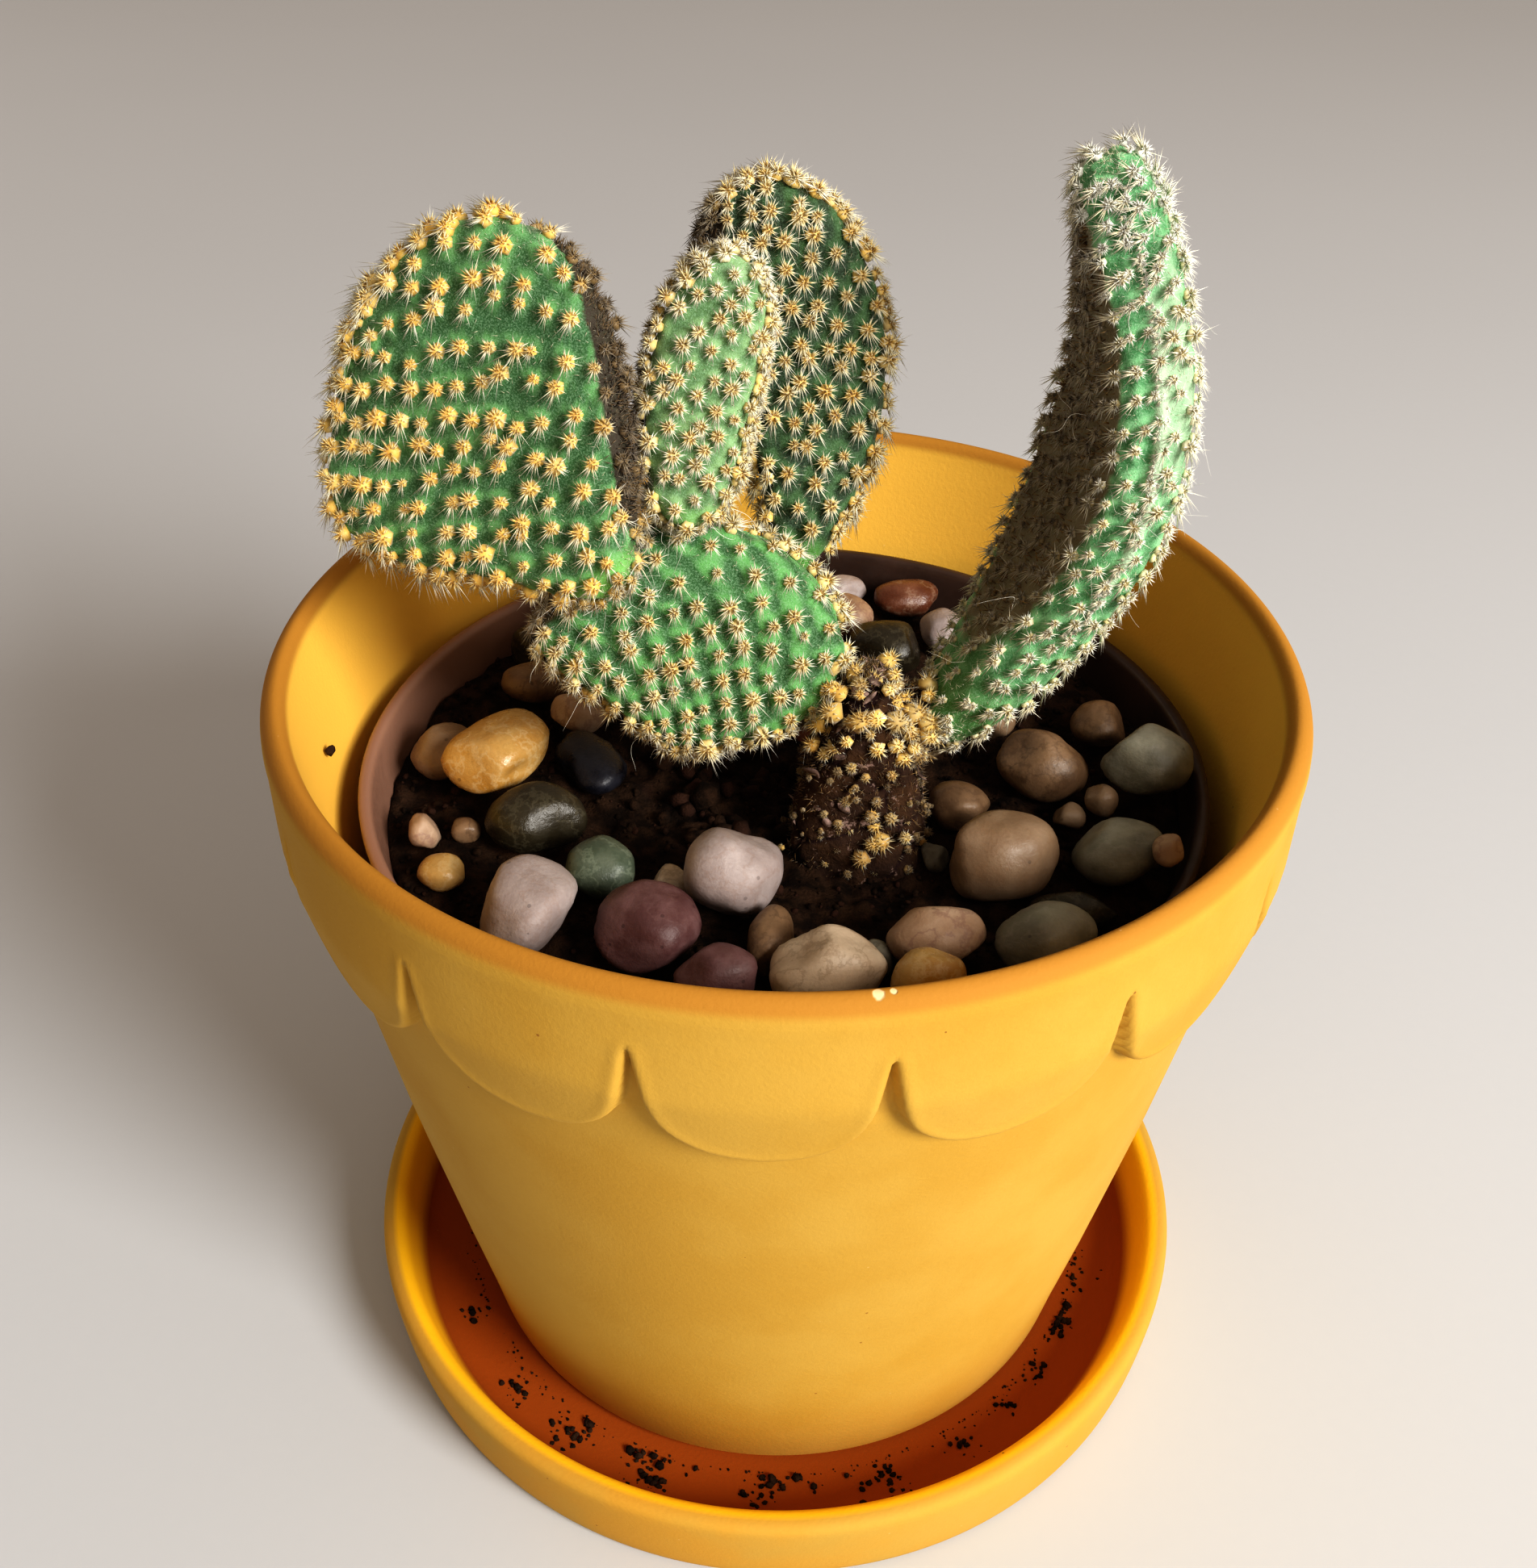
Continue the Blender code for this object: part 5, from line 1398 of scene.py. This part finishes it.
def barkMaterial(look):
    # mottled bark, darker in the folds between the plates, with pale flecks
    material, tree, shader, place = newMaterial("corky_bark", Roughness=0.85, Specular_IOR_Level=0.2)
    made = mottled(tree, place, look["bark"], look["moss"], 260.0, 2200.0, 0.8)
    fold = ranged(tree, readMask(tree, "tubercle"), 0.0, 0.7, 1.0, 0.0)
    flecks = ranged(tree, noiseValue(tree, place, 620.0, 4.0, 0.7), 0.60, 0.68, 0.0, 0.8)
    colour = blendColours(tree, flecks, blendColours(tree, fold, made["Color"], look["scale"]), look["flake"])
    tree.links.new(colour, shader.inputs["Base Color"])
    bumpInto(tree, shader, made["Height"], 0.3)
    return material


def buildBark(segment, look, material, random):
    # corky plates: a cell-like fold pattern with rough lumps on it, and a wider foot in the soil
    grid = segmentGrid(segment, look["cell"])
    unit = grid.reshape(-1, 3)
    straight, normal = toStraight(segment, unit), shellNormal(segment, unit)
    plates = random.uniform(-1.0, 1.0, (look["plates"], 3)) * halfSizes(segment, np.zeros(1))[0]
    plates = onShell(segment, unitVectors(plates)) * halfSizes(segment, np.zeros(look["plates"]))
    first, second = nearestSites(straight, plates)
    fold = smoothStep(0.0, 0.8, second - first)
    foot = smoothStep(0.1, -0.6, unit[:, 2])
    lift = (look["plateDepth"] * (fold - 0.6) + 0.45 * lumpNoise(straight, 3.0, 51)
            + 0.28 * lumpNoise(straight, 1.1, 52)
            + look["flare"] * foot * (0.6 + 0.6 * lumpNoise(straight, 6.0, 53)))
    placed = bendToPlace(segment, straight + normal * lift[:, None])
    points, faces = closedRings(placed.reshape(grid.shape))
    values = {"tubercle": np.append(fold, (0.5, 0.5))}
    addPiece("woody_stem_bark", points, facingOut(points, faces), material, values, ["woody_stem"])


def buildKnot(look, material):
    # a lump of cork where the stem, the older pad and the right pad have grown together
    ball = ballDirections(44, 60)
    way = ball.reshape(-1, 3)
    swell = 1.0
    for share, size, seed in ((0.16, 0.8, 61), (0.09, 0.3, 62), (0.03, 0.12, 63)):
        swell = swell + share * lumpNoise(way, size, seed)
    points, faces = closedRings((look["knot"] + way * look["knotSize"] * swell[:, None]).reshape(ball.shape))
    values = {"tubercle": 0.5 + 0.5 * lumpNoise(points, 1.2, 64)}
    addPiece("corky_knot", points, facingOut(points, faces), material, values)


def buildWool(segment, look, material, random):
    # woolly balls in uneven clusters: big golden ones above and low at the front, small dull brown ones
    # between, their brown partly painted shade under the pads
    knot, reach = np.array(look["knot"]), np.array(look["knotSize"])
    sites = areoleSites(segment, look["spacing"], 0.0, 0.0, 0.24, random)
    straight = toStraight(segment, sites) + random.normal(0.0, 0.6, (len(sites), 3))
    normal = shellNormal(segment, sites)
    lifted = straight + normal * random.uniform(-0.2, 0.6, (len(sites), 1))
    way, foot = turnToPlace(segment, lifted, normal), bendToPlace(segment, lifted)
    bud = unitVectors(random.normal(size=(look["knotTufts"], 3)) * (1.0, 1.0, 0.9))
    foot = np.concatenate((foot, knot + bud * reach * random.uniform(0.9, 1.15, (len(bud), 1))))
    count = len(foot)
    way = unitVectors(np.concatenate((way, bud)) + random.normal(0.0, 0.3, (count, 3)))
    low = np.exp(-(np.linalg.norm(foot - look["lowCluster"], axis=1) / look["lowReach"]) ** 2)
    golden = np.clip(smoothStep(94.0, 100.5, foot[:, 2]) + 0.8 * low, 0.0, 1.0)
    size = look["tuft"] * (0.34 + 0.72 * golden) * np.clip(random.normal(1.0, 0.26, count), 0.5, 1.6)
    pale = -0.06 + 0.12 * golden + random.normal(0.0, 0.07, count)
    # lower down, away from the golden clusters, the balls are brown: partly painted shade under the pads
    brown = np.clip(1.25 - 1.1 * golden + random.normal(0.0, 0.25, count), 0.0, 1.6)
    fall = random.normal(0.0, 0.5, (count, 3))
    tufts = growTufts(foot, way, size, fall, pale, brown, np.full(count, look["needle"]), random,
                      {**tuftShape, **look["shorter"]})
    # brown felt of short hairs over the bark and the cork
    unit = scattered(segment, look["felt"], random, (1.0, 1.0, 1.3))
    base, normal = toStraight(segment, unit), shellNormal(segment, unit)
    root = bendToPlace(segment, base + normal * random.uniform(0.0, 0.7, (look["felt"], 1)))
    ball = unitVectors(random.normal(size=(look["felt"] // 2, 3)))
    root = np.concatenate((root, knot + ball * reach))
    out = np.concatenate((turnToPlace(segment, base, normal), ball))
    out = unitVectors(out + random.normal(0.0, 0.6, out.shape))
    many = len(root)
    felt = needleCloud(root, out, random.uniform(0.5, 1.3, many), 0.05, 0.1, 0.5, random.random(many),
                       random.uniform(0.7, 1.9, many))
    points, faces, values = joinParts((tufts, felt))
    addPiece("woody_stem_wool", points, faces, material, values)
    return count


def buildFlakes(segment, look, random):
    # soft flakes of dry skin between the balls: curved strips with four corners a section
    count, steps = look["strips"], 6
    unit = scattered(segment, count, random, (1.0, 1.0, 1.2), (0.0, 0.0, 0.2))
    base = toStraight(segment, unit)
    root, out = bendToPlace(segment, base), turnToPlace(segment, base, shellNormal(segment, unit))
    side, other = tangents(out)
    spin = random.random((count, 1)) * fullTurn
    run = unitVectors(side * np.cos(spin) + other * np.sin(spin) + 0.25 * random.normal(size=(count, 3)))
    wide = unitVectors(np.cross(run, out))
    length = random.uniform(0.9, 2.4, (count, 1, 1))
    width = random.uniform(0.22, 0.55, (count, 1, 1))
    share = np.linspace(0.0, 1.0, steps)[None, :, None]
    curl = length * 0.5 * (share - 0.5) ** 2 * random.uniform(-1.0, 2.0, (count, 1, 1))
    middle = root[:, None] + run[:, None] * length * (share - 0.5) + out[:, None] * (0.55 + curl)
    taper = width * np.sqrt(np.maximum(0.03, 1.0 - (2.0 * share - 1.0) ** 2))
    corner = [middle + wide[:, None] * taper * a + out[:, None] * b
              for a, b in ((1, 0.05), (-1, 0.05), (-1, -0.05), (1, -0.05))]
    points = np.stack(corner, axis=2).reshape(-1, 3)
    ends = np.array([(3, 2, 1, 0), tuple(range(4 * steps - 4, 4 * steps))])
    faces = facingOut(points[:4 * steps], [np.concatenate((gridFaces(steps, 4), ends))])[0]
    material, tree, shader, place = newMaterial("dry_flakes", Roughness=0.8)
    made = mottled(tree, place, look["flake"], look["bark"], 420.0, 2600.0, 0.6)
    tree.links.new(made["Color"], shader.inputs["Base Color"])
    bumpInto(tree, shader, made["Height"], 0.1)
    addPiece("woody_stem_flakes", points, [repeatShape(4 * steps, faces, count)], material)


def buildStem(segment, look, material, random):
    # one row of random numbers goes through the bark, the wool and the flakes, in this order
    bark = barkMaterial(look)
    buildBark(segment, look, bark, random)
    buildKnot(look, bark)
    count = buildWool(segment, look, material, random)
    buildFlakes(segment, look, random)
    return count


def looseHair(start, way, sag, length, random, steps=14):
    # long thin hairs, each a three-sided tube that curls at random and sags as it goes
    count = len(start)
    share = np.linspace(0.0, 1.0, steps)[None, :, None]
    curl = random.normal(0.0, 0.32, (count, 3, 3))
    wave = (curl[:, :1] * share ** 2 + curl[:, 1:2] * np.sin(share * 4.0) * 0.4
            + curl[:, 2:] * np.sin(share * 8.0) * 0.12)
    line = start[:, None] + length[:, None, None] * (way[:, None] * share + wave + np.array(sag) * share ** 2)
    run = unitVectors(np.gradient(line, axis=1).reshape(-1, 3))
    side, other = (numbers.reshape(count, steps, 1, 3) for numbers in tangents(run))
    turn = (np.arange(3) * fullTurn / 3)[:, None]
    thick = 0.036 * (1.05 - 0.8 * share[..., None])
    ring = line[:, :, None] + (side * np.cos(turn) + other * np.sin(turn)) * thick
    quads, last = gridFaces(steps, 3), 3 * steps
    ends = np.array([(2, 1, 0), (last - 3, last - 2, last - 1)])
    faces = np.concatenate((quads[:, [0, 1, 2]], quads[:, [0, 2, 3]], ends))
    faces = facingOut(ring[0].reshape(-1, 3), [faces])[0]
    return ring.reshape(-1, 3), repeatShape(last, faces, count)


def buildLooseHairs(look, material, random):
    # hairs that have come loose near the joints, and a few on the broad faces
    starts, ways, lengths = [], [], []
    for name, low, high, count, length in look:
        segment = segments[name]
        turn = random.random(count) * fullTurn
        level = random.uniform(low, high, count)
        flat = np.sqrt(1.0 - level ** 2)
        unit = onShell(segment, np.stack((np.cos(turn) * flat, np.sin(turn) * flat, level), axis=1))
        straight, normal = toStraight(segment, unit), shellNormal(segment, unit)
        starts.append(bendToPlace(segment, straight + normal * 0.9))
        lean = unitVectors(normal * 0.35 + random.normal(0.0, 0.7, (count, 3)))
        ways.append(turnToPlace(segment, straight, lean))
        lengths.append(length * random.uniform(0.5, 1.2, count))
    start, way, length = (np.concatenate(parts) for parts in (starts, ways, lengths))
    points, faces = looseHair(start, way, (0.0, 0.0, -0.25), length, random)
    values = {key: np.full(len(points), level)
              for key, level in (("paleness", 1.0), ("tone", 0.9), ("brown", 0.0))}
    addPiece("loose_hairs", points, [faces], material, values)


tuftCount += buildStem(segments["woody_stem"], stemLook, glochids, np.random.default_rng(77))
# segment, the heights between which they grow in its unit space, how many, and their length in millimetres
hairPlaces = (
    ("pad_lower", 0.0, 0.95, 34, 3.6), ("pad_lower", -0.98, -0.6, 14, 3.4), ("pad_left", -0.98, -0.7, 16, 4.2),
    ("pad_middle", -0.98, -0.5, 14, 3.6), ("pad_back", -0.98, -0.5, 12, 3.6), ("pad_right", -0.9, 0.6, 34, 4.6),
    ("woody_stem", 0.3, 0.98, 16, 3.4),
)
buildLooseHairs(hairPlaces, glochids, np.random.default_rng(91))
report(f"woody stem; {tuftCount} tufts in all")


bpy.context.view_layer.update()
total = sum(len(item.data.polygons) for item in bpy.data.objects if item.type == "MESH")
report(f"{total} faces")
